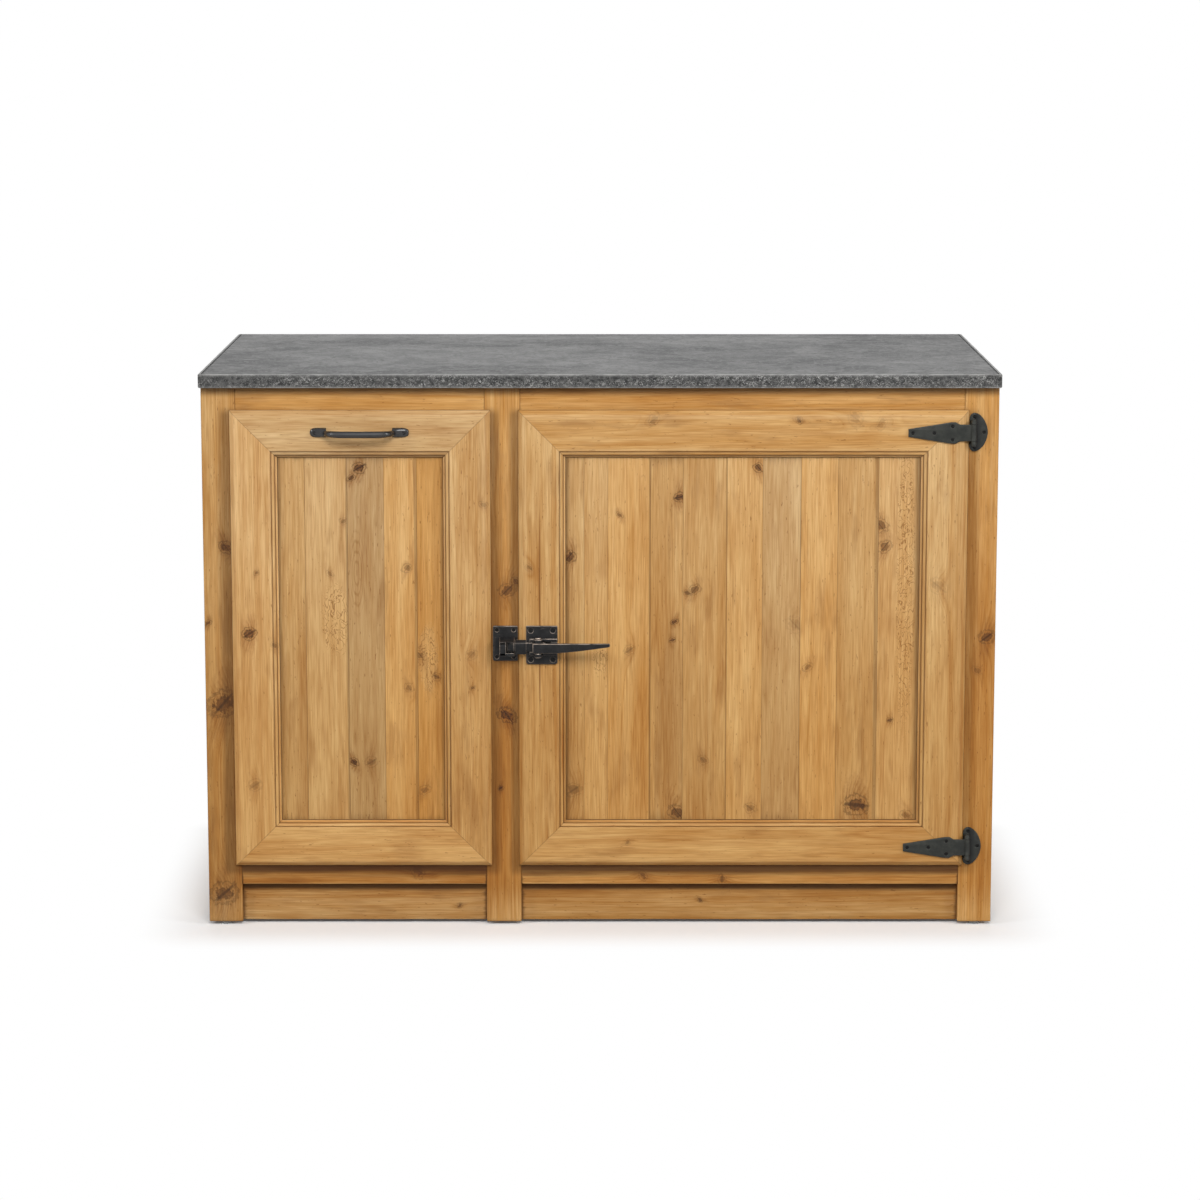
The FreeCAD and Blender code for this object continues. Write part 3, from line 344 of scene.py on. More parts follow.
        # a pale line along an arris whose reach is under 0.4 mm
        paleArris = most(paleArris, times(fade(gap, 2.6 * mm, 0.6 * mm), fade(wide, 0.4 * mm, 0.3 * mm)))
    colour = coats(colour, (times(paleArris, 0.5), "waxAndSheen"), (times(dirtAndShade, grimeAndShadeDepth), "grimeAndShade"))
    # painted shadow under the slab's overhang, across the top of the face frame
    if look["slabShade"]:
        colour = coats(colour, (times(fade(level, *pineLevels["slabShade"]), look["slabShade"]), "grimeAndShade"))

    def alongMoulding(lines):
        strongest = 0.0
        for middle, reach, near, strength in lines.values():
            gap = apart(fromRim, middle * mm)
            strongest = most(strongest, fade(gap, reach * mm, near * mm, 0.0, strength))
        return times(strongest, mitred)

    # pale bands are wear and painted highlight where the bevel, the quirk's edge and the fillet would catch
    # the light; dark lines are dirt and painted shade in the crevices
    rubbed = times(alongMoulding(mouldingWearAndSheen), fade(patch, 0.30, 0.60, 0.4, 1.0))
    colour = coats(colour, (rubbed, "waxAndSheen"), (times(alongMoulding(mouldingGrimeAndShade), 0.85), "grimeAndShade"))

    # painted shade: darker and more orange low down, as if less light fell there, fading out again just above
    # the floor; then the fine shade of the grain
    low = times(fade(level, *pineLevels["lowShade"]), fade(level, *pineLevels["lowShadeFoot"]))
    colour = blend(low, colour, look["foot"], "MULTIPLY")
    deep = plus(plus(around(fibre, 0.66), around(band, 0.22 * streaky)),
                plus(around(broad, 0.50 * streaky), around(patch, 0.46 * streaky)))
    redder = {axis: scaled(deep, -share, 1.0) for axis, share in (("X", 0.9), ("Y", 1.3), ("Z", 1.9))}
    colour = vec("MULTIPLY", colour, bench.node("CombineXYZ", redder).outputs[0])
    colour = bench.dimmed(colour, times(light, look["light"]))
    rough = scaled(dirtAndShade, 0.2, plus(around(band, 0.25), look["rough"]), clamp=True)
    height = scaled(bark, -0.7, scaled(trails, -1.2, scaled(late, 0.5, times(fibre, 0.6))))
    return bench.skin(colour, rough, height, look["grain"], 0.5 * mm, shine=0.25)


pine = {name: pineFinish(name + "_waxed", look) for name, look in pineLooks.items()}
print("pine mixed")


def place(piece, *stoodFor):
    # hangs a finished piece on the body of the CAD nodes it stands for, and hides those nodes
    node = stoodFor[0]
    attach(piece, bodyOf[node])
    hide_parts(*stoodFor)


def makeMesh(name, points, faces, sharp):
    mesh = bpy.data.meshes.new(name)
    mesh.from_pydata(points, [], faces)
    mesh.update()
    mesh.polygons.foreach_set("use_smooth", [True] * len(mesh.polygons))
    mesh.set_sharp_from_angle(angle=math.radians(sharp))
    return mesh


def show(name, mesh, material):
    piece = bpy.data.objects.new(name, mesh)
    mesh.materials.append(material)
    bpy.context.scene.collection.objects.link(piece)
    return piece


def loft(rows):
    # skins closed rows of points that run the same way round
    count = len(rows[0])
    points = [point for row in rows for point in row]
    faces = []
    for row in range(len(rows) - 1):
        for spot in range(count):
            following = (spot + 1) % count
            faces.append((row * count + spot, row * count + following,
                          (row + 1) * count + following, (row + 1) * count + spot))
    faces.append(tuple(reversed(range(count))))
    faces.append(tuple(range(len(points) - count, len(points))))
    return points, faces


def workCopy(node, join):
    # a node's mesh to work on, its corners joined
    solid = bmesh.new()
    solid.from_mesh(cadNodes[node].data)
    bmesh.ops.remove_doubles(solid, verts=solid.verts, dist=join)
    return solid


def bevelled(solid, edges, offset):
    bmesh.ops.bevel(solid, geom=edges, offset=offset, segments=2, affect="EDGES", profile=0.5)
    solid.verts.index_update()


def takeShape(solid):
    points = [tuple(vert.co) for vert in solid.verts]
    faces = [tuple(vert.index for vert in face.verts) for face in solid.faces]
    solid.free()
    return points, faces


boxCorners = ((-1, -1, 180), (1, -1, 270), (1, 1, 0), (-1, 1, 90))   # sides, and where the arc starts


def roundedBox(half, middle, radii, tuck=0.0):
    # a section with four rounded corners, each an arc of four spots
    row = []
    for (sideX, sideY, start), radius in zip(boxCorners, radii):
        for step in range(4):
            angle = math.radians(start + 30 * step)
            row.append((middle[0] + sideX * (half[0] - radius) + (radius - tuck) * math.cos(angle),
                        middle[1] + sideY * (half[1] - radius) + (radius - tuck) * math.sin(angle)))
    return row


def boardPlace(low, high, along, face):
    # local axes of a board: across, depth behind its face, along
    middle = (Vector(low) + Vector(high)) / 2
    size = Vector(high) - Vector(low)
    inward = -ways[face]
    lengthways = ways[along]
    sideways = inward.cross(lengthways)
    turn = Matrix((sideways, inward, lengthways)).transposed().to_4x4()
    half = [abs(axis.dot(size)) / 2 for axis in (sideways, inward, lengthways)]
    return Matrix.Translation(middle) @ turn, half


def boardShape(half, arris, seed, step):
    # a sawn board with worn arrises
    wide, thick, long = half
    stations = max(2, round(2 * long / step))
    heights = [-long, -long + 0.5 * arris]
    heights += [-long + 2 * long * spot / stations for spot in range(1, stations)]
    heights += [long - 0.5 * arris, long]
    rows = []
    for height in heights:
        radii = []
        for sideX, sideY in (corner[:2] for corner in boxCorners):
            grip = noise.noise(Vector((seed * 3.1 + sideX, sideY * 2.3, height * 21)))
            fine = noise.noise(Vector((seed * 1.7 + sideY, sideX * 3.7, height * 95)))
            radii.append(min(arris * max(0.35, 1 + 0.5 * (grip + 0.6 * fine)), 0.9 * wide, 0.9 * thick))
        tuck = 0.5 * arris if abs(height) == long else 0
        rows.append([(x, y, height) for x, y in roundedBox((wide, thick), (0, 0), radii, tuck)])
    return loft(rows)


def seams(node, axis):
    # where the flat sides of a node's solids lie along one axis
    kept = []
    flats = (face for face in cadNodes[node].data.polygons if abs(face.normal[axis]) > 0.99)
    for line in sorted(face.center[axis] for face in flats):
        if not kept or line - kept[-1] > 0.1 * mm:
            kept.append(line)
    return kept


def boardBoxes(node, axis=None, stride=1):
    # low and high corners of the boards that lie side by side in a node
    low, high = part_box(node)
    if axis is None:
        return [(low, high)]
    lines = seams(node, axis)
    boxes = []
    for number in range(0, len(lines) - 1, stride):
        first, last = list(low), list(high)
        first[axis], last[axis] = lines[number], lines[number + 1]
        boxes.append((first, last))
    return boxes


class Timber:
    # the boards of one wooden piece, each with its own grain
    farAway = 9.0   # metres, where a mark that a board doesn't have is put
    plain = {"tilt": 0.012, "stainDepth": 0.4}
    sharp = 35

    def __init__(self, node):
        self.node = node
        self.points = []
        self.faces = []
        self.marks = {}

    def lay(self, shape, where, half, cut, mitred=0.0):
        points, faces = shape
        back = where.inverted()
        start = len(self.points)
        self.points += [where @ Vector(point) for point in points]
        self.faces += [tuple(start + corner for corner in face) for face in faces]
        cut = {**self.plain, **cut}

        def zone(spot, wide, long):   # a spot on the front has no depth
            x, y, z = spot if len(spot) == 3 else (spot[0], 0, spot[1])
            middle = back @ Vector((x * mm, y * mm, z * mm))
            return (middle.x, middle.z, wide, long)

        nothing = (self.farAway, self.farAway, 10 * mm, 10 * mm)
        same = {
            "board": (cut["seed"], cut["pith"][0] * mm, cut["pith"][1] * mm, cut["tilt"]),
            "tone": cut["tone"], "extent": (half[0], cut["stainDepth"], half[2], 1.0),
            "grimeAndShade": (*(reach * mm for reach in cut["grimeAndShade"][:3]), cut["grimeAndShade"][3]),
        }
        for kind in ("figure", "stain"):
            same[kind] = nothing
            if kind in cut:
                *spot, wide, long = cut[kind]
                same[kind] = zone(spot, wide * mm, long * mm)
        for mark in knotMarks:
            same[mark] = (self.farAway, self.farAway, 1 * mm, 0.0)
        for mark, (*spot, size, strength) in zip(knotMarks, cut.get("knots", ())):
            same[mark] = zone(spot, size * mm, strength)
        for key, value in same.items():
            self.marks.setdefault(key, []).extend([value] * len(points))
        self.marks.setdefault("grain", []).extend((*point, mitred) for point in points)

    def board(self, low, high, along, face, cut, arris, step):
        where, half = boardPlace(low, high, along, face)
        self.lay(boardShape(half, arris, cut["seed"], step), where, half, cut)

    def build(self, finish):
        mesh = makeMesh("pine_" + self.node, self.points, self.faces, self.sharp)
        for key, values in self.marks.items():
            held = mesh.attributes.new(key, "FLOAT_COLOR", "POINT")
            held.data.foreach_set("color", [number for value in values for number in value])
        place(show("pine_" + self.node, mesh, pine[finish]), self.node)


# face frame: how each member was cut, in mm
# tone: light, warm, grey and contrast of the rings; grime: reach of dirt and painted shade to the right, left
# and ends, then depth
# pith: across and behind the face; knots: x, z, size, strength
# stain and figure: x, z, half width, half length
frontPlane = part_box("left_stile")[0][1] / mm
frameSet = {"arris": 1.3 * mm, "step": 28 * mm}
frameCuts = {
    # wide reaches on the stiles paint the shade that the proud fronts cast beside them
    "left_stile": {"along": "up", "seed": 3.1, "pith": (38, 30), "tone": (0.95, 0.20, 0.0, 1.1),
                   "grimeAndShade": (36, 0.8, 4, 0.48), "stain": (-612, 110, 80, 210), "stainDepth": 0.10,
                   "knots": [(-606, 366, 15, 0.8), (-610, 52, 13, 0.75),
                             (-597, 620, 7, 0.95), (-628, 498, 3.5, 0.8)]},
    "centre_stile": {"along": "up", "seed": 11.4, "pith": (-44, 22), "tone": (1.02, 0.42, 0.0, 1.2),
                     "grimeAndShade": (20, 29, 4, 0.46), "stain": (-150, 30, 70, 60), "stainDepth": 0.13,
                     "knots": [(-150, 347, 9, 1.0), (-149, 551, 8, 0.7),
                               (-160, 227, 3, 0.9), (-135, 565, 5, 0.7)]},
    "right_stile": {"along": "up", "seed": 7.7, "pith": (-40, 26), "tone": (1.06, 0.38, 0.0, 1.1),
                    "grimeAndShade": (0.8, 30, 4, 0.30),
                    "knots": [(621, 475, 8, 0.75), (606, 420, 5, 0.35)]},
    "top_rail_left": {"along": "right", "seed": 5.2, "pith": (20, 34), "tone": (1.0, 0.52, 0.0, 1.1),
                      "grimeAndShade": (3, 3, 3, 0.35)},
    "top_rail_right": {"along": "right", "seed": 8.9, "pith": (-26, 30), "tone": (1.0, 0.50, 0.0, 1.1),
                       "grimeAndShade": (3, 3, 3, 0.35)},
    # reaches below nought paint the shadow under the fronts on the bottom rails, and under the rails on the
    # toe boards
    "bottom_rail_left": {"along": "right", "seed": 2.3, "pith": (24, 30), "tone": (1.12, 0.13, 0.03, 1.2),
                         "grimeAndShade": (0.3, -31, 4, 0.92), "knots": [(-295, 90, 8, 0.6)]},
    "bottom_rail_right": {"along": "right", "seed": 6.6, "pith": (-20, 28), "tone": (1.18, 0.16, 0.03, 1.2),
                          "grimeAndShade": (0.3, -31, 4, 0.92),
                          "knots": [(70, 81, 5, 0.5), (198, 76, 5, 0.45)]},
    "toe_board_left": {"along": "right", "seed": 9.8, "pith": (28, 18), "tone": (0.97, 0.16, 0.05, 1.2),
                       "grimeAndShade": (0.5, -16, 7, 0.78), "knots": [(-228, 29, 3, 0.6)]},
    "toe_board_right": {"along": "right", "seed": 1.4, "pith": (-24, 20), "tone": (0.89, 0.38, 0.0, 1.2),
                        "grimeAndShade": (0.5, -16, 7, 0.78), "knots": [(163, 38, 3, 0.6)]},
}
for node, cut in frameCuts.items():
    timber = Timber(node)
    timber.board(*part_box(node), cut["along"], "front", cut, frameSet["arris"], frameSet["step"])
    timber.build("pine_frame")
print("face frame cut")

# lipped fronts: mitred members with one worked section
frontSection = {"width": 76.0, "thick": 23.0, "lip": 11.0, "bevelRise": 8.5, "bevelIn": 8.0, "quirkAt": 65.0,
                "quirkWide": 1.8, "ovoloTop": 0.6, "ovoloRound": 6.0, "fillet": 8.2, "rebateDepth": 10.5,
                "rebateAt": 67.0, "mitreGap": 0.08, "ease": 0.35, "proud": 0.14, "flats": (22, 44),
                "worn": 0.22, "wornPoints": 14, "step": 30 * mm, "grimeAndShade": (0.5, 0.7, 0.9, 0.55)}


def sectionPoints(size):
    # outline of the section: distance from the outer edge, depth behind the face
    ease, rise, inner, quirk = size["ease"], size["bevelRise"], size["bevelIn"], size["quirkAt"]
    line = [(0, rise + 0.3), (ease, rise - 0.75)]
    for share in (0.25, 0.5, 0.75):
        proud = size["proud"] * math.sin(math.pi * share)   # planed by hand, a little full
        line.append((ease + share * (inner - 1.05) - proud,
                     (1 - share) * (rise - 0.75) + share * 0.55 - proud))
    line += [(inner - 0.7, 0.55), (inner, 0.14), (inner + 0.9, 0)]
    line += [(flat, 0) for flat in size["flats"]]
    line += [(quirk - 0.6, 0), (quirk - 0.1, 0.4), (quirk, size["quirkWide"])]
    middle = (quirk + size["quirkWide"], size["ovoloTop"] + size["ovoloRound"])
    line.append((middle[0], size["quirkWide"]))
    for step in range(7):
        angle = math.radians(90 - 15 * step)
        line.append((middle[0] + size["ovoloRound"] * math.cos(angle),
                     middle[1] - size["ovoloRound"] * math.sin(angle)))
    line += [(middle[0] + size["ovoloRound"], size["fillet"]), (size["width"] - 0.4, size["fillet"])]
    line += [(size["width"], size["fillet"] + 0.4), (size["width"], size["rebateDepth"])]
    line += [(size["rebateAt"], size["rebateDepth"]), (size["rebateAt"], size["thick"])]
    line += [(size["lip"], size["thick"]), (size["lip"], size["lip"]), (0, size["lip"])]
    return line


def memberShape(half, size, seed):
    wide, thick, long = half
    outline = sectionPoints(size)
    stations = max(4, round(2 * long / size["step"]))
    rows = []
    for station in range(stations + 1):
        share = 2 * station / stations - 1
        row = []
        for number, (out, deep) in enumerate(outline):
            worn = 0.0
            if deep < 1.0 and number < size["wornPoints"]:
                worn = size["worn"] * max(0.0, noise.noise(Vector((seed, share * long * 17, out * 0.21))))
            reach = long - (out + size["mitreGap"]) * mm
            row.append((out * mm - wide, (deep + worn) * mm - thick, share * reach))
        rows.append(row)
    return loft(rows)


memberCuts = {
    "drawer_top_rail": {"along": "right", "seed": 4.4, "pith": (20, 46), "tone": (1.01, 0.0, 0.42, 0.9)},
    "drawer_bottom_rail": {"along": "left", "seed": 12.8, "pith": (-30, 40), "tone": (1.14, 0.0, 0.24, 1.0)},
    "drawer_left_stile": {"along": "up", "seed": 15.1, "pith": (40, 40), "tone": (1.14, 0.0, 0.30, 1.0),
                          "knots": [(-562, 482, 7.5, 0.9), (-549, 581, 3, 0.5),
                                    (-522, 463, 4, 0.45), (-556, 234, 7, 0.3)]},
    "drawer_right_stile": {"along": "down", "seed": 18.3, "pith": (8, 26), "tilt": 0.03,
                           "tone": (1.02, 0.0, 0.18, 1.0),
                           "knots": [(-186, 691, 4, 0.45), (-206, 448, 6, 0.3),
                                     (-204, 394, 3, 0.55)]},
    "door_top_rail": {"along": "right", "seed": 21.7, "pith": (-28, 38), "tone": (0.92, 0.32, 0.0, 1.0),
                      "knots": [(86, 828, 6, 0.38), (316, 827, 4, 0.6),
                                (405, 830, 8, 0.22), (447, 822, 6, 0.22)]},
    "door_bottom_rail": {"along": "left", "seed": 24.2, "pith": (14, 30), "tone": (1.04, 0.0, 0.08, 0.95),
                         "knots": [(45, 140, 3, 0.4)]},
    "door_latch_stile": {"along": "up", "seed": 27.9, "pith": (-16, 34), "tone": (0.95, 0.06, 0.03, 1.1),
                         "stain": (-96.5, 500, 1.7, 190), "stainDepth": 0.8,
                         "knots": [(-113, 590, 4, 0.4), (-108, 478, 3, 0.5)]},
    "door_hinge_stile": {"along": "down", "seed": 30.5, "pith": (34, 42), "tone": (0.97, 0.0, 0.10, 1.1),
                         "knots": [(540, 560, 9, 0.2)]},
}
for node, cut in memberCuts.items():
    where, half = boardPlace(*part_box(node), cut["along"], "front")
    timber = Timber(node)
    timber.lay(memberShape(half, frontSection, cut["seed"]), where, half,
               {"grimeAndShade": frontSection["grimeAndShade"], **cut}, mitred=1.0)
    timber.build("pine_front")
print("fronts moulded")

# panels: reclaimed boards side by side, each its own colour
panelSet = {"arris": 0.35 * mm, "step": 40 * mm, "sunk": 0.5 * mm}
# reaches of 14 mm and more at the outer boards paint the shade in the recess under the moulding; the wider
# reaches at some joints are painted shade too
panelBoards = {
    "drawer_panel": [
        {"tone": (0.97, 0.08, 0.12, 1.0), "pith": (26, 30), "grimeAndShade": (0.5, 14, 16, 0.55),
         "stain": (-476, 330, 44, 240), "stainDepth": 0.20},
        {"tone": (1.06, 0.0, 0.32, 0.7), "pith": (-30, 36), "grimeAndShade": (3, 0.5, 16, 0.30),
         "figure": (-423, 503, 24, 62),
         "knots": [(-432, 578, 4, 0.35), (-410, 663, 4, 0.4)]},
        {"tone": (0.93, 0.0, 0.50, 1.3), "pith": (-4, 10), "tilt": 0.035, "grimeAndShade": (0.6, 1.5, 22, 0.40),
         "figure": (-389, 580, -11, 52),
         "knots": [(-384, 749, 6.5, 1.0), (-397, 733, 4, 0.9),
                   (-397, 270, 5, 1.0), (-369, 270, 6, 0.4)]},
        {"tone": (1.10, 0.06, 0.0, 0.6), "pith": (30, 44), "grimeAndShade": (5, 0.5, 14, 0.34),
         "knots": [(-309, 587, 5, 0.5), (-307, 392, 5, 0.4)]},
        {"tone": (1.0, 0.48, 0.0, 0.8), "pith": (-22, 30), "grimeAndShade": (15, 1.2, 16, 0.50),
         "figure": (-276, 440, 17, 60),
         "knots": [(-289, 446, 5.5, 0.5), (-262, 410, 4.5, 0.55), (-283, 224, 5.5, 0.45)]},
    ],
    "door_panel": [
        {"tone": (0.97, 0.0, 0.10, 0.9), "pith": (24, 28), "grimeAndShade": (0.5, 17, 14, 0.58),
         "knots": [(-50, 605, 7, 0.9), (-43, 224, 8, 0.4)]},
        {"tone": (1.06, 0.0, 0.08, 0.7), "pith": (-28, 40), "grimeAndShade": (0.5, 0.5, 10, 0.30),
         "figure": (0, 438, 14, 28), "stain": (0, 690, 50, 190), "stainDepth": 0.13},
        {"tone": (1.07, 0.14, 0.0, 0.85), "pith": (20, 34), "grimeAndShade": (2.4, 0.5, 12, 0.42),
         "stain": (48, 250, 44, 200), "stainDepth": 0.12,
         "knots": [(32, 673, 3.5, 0.6), (48, 454, 6, 0.35)]},
        {"tone": (0.96, 0.08, 0.08, 0.95), "pith": (-18, 26), "grimeAndShade": (0.5, 1.2, 30, 0.42),
         "stain": (118, 330, 36, 190), "stainDepth": 0.30,
         "knots": [(128, 702, 6, 0.95), (120, 500, 3.5, 1.0),
                   (125, 187, 9, 0.8), (116, 470, 3.5, 0.7)]},
        {"tone": (0.99, 0.0, 0.08, 0.8), "pith": (32, 36), "grimeAndShade": (2.2, 0.5, 12, 0.36),
         "stain": (153, 250, 50, 190), "stainDepth": 0.14,
         "knots": [(151, 552, 6, 0.6), (166, 273, 5, 0.4), (140, 547, 4, 0.5)]},
        {"tone": (1.08, 0.02, 0.05, 0.6), "pith": (-24, 46), "grimeAndShade": (0.5, 0.9, 8, 0.30),
         "stain": (240, 250, 50, 170), "stainDepth": 0.09,
         "knots": [(253, 749, 5.5, 0.9), (243, 194, 6, 0.4)]},
        {"tone": (1.02, 0.0, 0.44, 1.0), "pith": (6, 22), "grimeAndShade": (1.4, 0.5, 20, 0.40),
         "knots": [(313, 495, 9, 0.2)]},
        {"tone": (1.08, 0.12, 0.0, 0.75), "pith": (28, 38), "grimeAndShade": (0.5, 0.6, 10, 0.30),
         "knots": [(334, 426, 5, 0.45)]},
        {"tone": (0.98, 0.06, 0.10, 0.8), "pith": (-30, 34), "grimeAndShade": (7, 0.5, 14, 0.33),
         "knots": [(414, 199, 12, 0.85)]},
        {"tone": (1.12, 0.0, 0.24, 0.9), "pith": (16, 28), "grimeAndShade": (18, 0.7, 12, 0.55),
         "figure": (489, 570, 16, 260),
         "knots": [(447, 657, 8, 0.65), (455, 622, 7, 0.65),
                   (467, 339, 3.5, 0.6), (495, 182, 6, 0.5)]},
    ],
}
for node, cuts in panelBoards.items():
    timber = Timber(node)
    for number, (cut, (low, high)) in enumerate(zip(cuts, boardBoxes(node, 0))):
        cut["seed"] = len(node) + 3.7 * number
        # no two boards lie quite level
        low[1] += panelSet["sunk"] * (0.5 + 0.5 * math.sin(2.4 * number + len(node)))
        timber.board(low, high, "up", "front", cut, panelSet["arris"], panelSet["step"])
    timber.build("pine_panel")
print("panels laid")

# carcass, box and inside: plainer boards, toned by a seeded draw
carcassSet = {"arris": 0.8 * mm, "bevel": 0.6 * mm, "bevelFrom": 0.5, "join": 0.01 * mm, "draw": 41,
              "grimeAndShade": (1.6, 1.6, 9, 0.45), "narrow": 60 * mm, "knotChance": 0.6}
draw = random.Random(carcassSet["draw"])


def plainCut(light, knotty=0, low=None, high=None):
    cut = {"seed": draw.uniform(2, 60), "pith": (draw.uniform(-40, 40), draw.uniform(14, 46)),
           "tilt": draw.uniform(-0.02, 0.02), "grimeAndShade": carcassSet["grimeAndShade"],
           "tone": (light * draw.uniform(0.9, 1.1), draw.uniform(0, 0.22), draw.uniform(0, 0.18),
                    draw.uniform(0.45, 0.9)), "knots": []}
    for number in range(knotty):
        if draw.random() < carcassSet["knotChance"]:
            where = []
            for start, end in zip(low, high):   # well inside a narrow side
                margin = 0.3 * (end - start) if end - start < carcassSet["narrow"] else 0
                where.append(draw.uniform(start + margin, end - margin) / mm)
            cut["knots"].append((*where, draw.uniform(3, 9), draw.uniform(0.3, 0.9)))
    return cut


def layPlain(boards, stride, light, knotty, step):
    for node, (along, face, axis) in boards.items():
        timber = Timber(node)
        for low, high in boardBoxes(node, axis, stride):
            cut = plainCut(light, knotty if axis is None else 2 * knotty, low, high)
            timber.board(low, high, along, face, cut, carcassSet["arris"], step)
        timber.build("pine_carcass")


carcassBoards = {   # node: direction of the grain, face that shows, axis the boards lie along
    "left_side_boards": ("up", "left", 1), "right_side_boards": ("up", "right", 1),
    "back_boards": ("up", "back", 0),
    "rear_post_left": ("up", "back", None), "rear_post_right": ("up", "back", None),
    "rear_top_rail": ("right", "back", None), "rear_bottom_rail": ("right", "back", None),
    "shelf": ("right", "up", None), "drawer_box_left": ("front", "left", None),
    "drawer_box_right": ("front", "right", None), "drawer_box_front": ("right", "back", None),
    "drawer_box_back": ("right", "front", None), "drawer_box_bottom": ("right", "up", None),
}
pairedBoards = {   # nodes made of separate lengths: grain, face, axis that parts them
    "floor_bearers": ("back", "up", 0), "shelf_cleats": ("back", "up", 0),
    "slide_packers": ("back", "right", 0),
}
layPlain(carcassBoards, stride=1, light=1.0, knotty=1, step=45 * mm)
layPlain(pairedBoards, stride=2, light=0.95, knotty=0, step=60 * mm)

notchedBoards = {"floor_panel": ("right", "up"), "centre_partition": ("up", "right")}
for node, (along, face) in notchedBoards.items():
    where, half = boardPlace(*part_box(node), along, face)
    solid = workCopy(node, carcassSet["join"])
    edges = [edge for edge in solid.edges if edge.is_manifold]
    edges = [edge for edge in edges if edge.calc_face_angle() > carcassSet["bevelFrom"]]
    bevelled(solid, edges, carcassSet["bevel"])
    points, faces = takeShape(solid)
    back = where.inverted()
    timber = Timber(node)
    timber.lay(([tuple(back @ Vector(point)) for point in points], faces), where, half, plainCut(light=0.95))
    timber.build("pine_carcass")
print("carcass boards laid")

# stone slab with a hewn edge
slabSet = {"arris": 1.7 * mm, "margin": 5 * mm, "corner": 5 * mm, "hewn": 0.3 * mm, "chip": 0.5 * mm,
           "step": 5 * mm, "sharp": 28}
stoneTints = {"deep": (0.034, 0.035, 0.036, 1), "pale": (0.222, 0.221, 0.218, 1),
              "edge": (0.036, 0.036, 0.036, 1), "edgePale": (0.104, 0.103, 0.100, 1),
              "scratch": (0.46, 0.455, 0.44, 1)}
stoneMarks = {   # stretch of each noise, detail, roughness, bend
    "drift": ((4.0, 5.0, 5), 4, 0.6, 0.7), "blotch": ((15, 19, 20), 6, 0.68, 0.9), "grit": (620, 2, 0.6, 0.0),
    "wisp": ((34, 42, 30), 5, 0.65, 1.5), "fleck": ((110, 84, 60), 3, 0.6, 1.0),
    "mottle": ((150, 150, 190), 4, 0.7, 0.0), "scuffed": ((11, 11, 60), 2, 0.5, 0.0),
    "rubbed": ((45, 45, 45), 3, 0.5, 0.0),
}


def stoneFinish(name):
    bench = Bench(bpy.data.materials.new(name))
    fade, blend, cloud, times, scaled = bench.fade, bench.blend, bench.cloud, bench.times, bench.scaled
    spot = bench.spot()
    rim, side = bench.factor("rim"), bench.factor("hewn")
    drift, blotch, grit, wisp, fleck, mottle, scuffed, rubbed = (
        cloud(spot, *setting) for setting in stoneMarks.values())
    deep, pale = stoneTints["deep"], stoneTints["pale"]
    colour = blend(fade(drift, 0.34, 0.66), deep, pale)
    colour = blend(0.5, colour, blend(fade(blotch, 0.38, 0.62), deep, pale))
    for mark, share in ((wisp, 0.46), (fleck, 0.60)):   # veils and flecks
        colour = bench.coats(colour, ((times(fade(mark, 0.54, 0.68), share), pale),
                                      (times(fade(mark, 0.46, 0.32), share), deep)))
    edge = blend(fade(mottle, 0.36, 0.66), stoneTints["edge"], stoneTints["edgePale"])
    scratch = 0.0
    for step, finer in ((80, 5.0), (150, 4.0)):   # curled white scratches of two sizes
        curl = bench.stripes(times(cloud(spot, (step, step, 1.3 * step), 2, 0.5, 1.6), finer), 0.12, 0.03)
        broken = times(fade(scuffed, 0.30, 0.60, 0.25, 1.0), fade(cloud(spot, 1.9 * step, 1), 0.42, 0.56))
        scratch = bench.most(scratch, times(curl, broken))
    edge = blend(times(scratch, 0.75), edge, stoneTints["scratch"])
    colour = blend(times(scratch, 0.24), colour, stoneTints["scratch"])
    colour = blend(side, colour, edge)
    worn = times(rim, fade(rubbed, 0.28, 0.66, 0.35, 1.0))
    colour = blend(times(worn, 0.85), colour, stoneTints["scratch"])
    colour = bench.dimmed(colour, scaled(bench.less(grit, 0.5), 0.5, 1.0))
    rough = scaled(blotch, 0.20, scaled(side, 0.22, 0.42), clamp=True)
    height = scaled(blotch, 0.2, scaled(mottle, times(side, 1.6), times(grit, 0.16)))
    return bench.skin(colour, rough, height, 0.5, 0.5 * mm, shine=0.17)


def slabPath(low, high, size):
    # the slab in plan: spots with the way out from each
    path = []
    corner = size["corner"]
    turns = ((low[0] + corner, low[1] + corner, 180), (high[0] - corner, low[1] + corner, 270),
             (high[0] - corner, high[1] - corner, 0), (low[0] + corner, high[1] - corner, 90))
    for number, (x, y, start) in enumerate(turns):
        for step in range(6):
            angle = math.radians(start + 18 * step)
            outX, outY = math.cos(angle), math.sin(angle)
            path.append((x + corner * outX, y + corner * outY, outX, outY))
        nextX, nextY, nextStart = turns[(number + 1) % 4]
        angle = math.radians(nextStart)
        out = (math.cos(angle), math.sin(angle))
        first = (path[-1][0], path[-1][1])
        last = (nextX + corner * out[0], nextY + corner * out[1])
        count = int(math.dist(first, last) / size["step"])
        for step in range(1, count):
            share = step / count
            path.append((first[0] + share * (last[0] - first[0]),
                         first[1] + share * (last[1] - first[1]), *out))
    return path


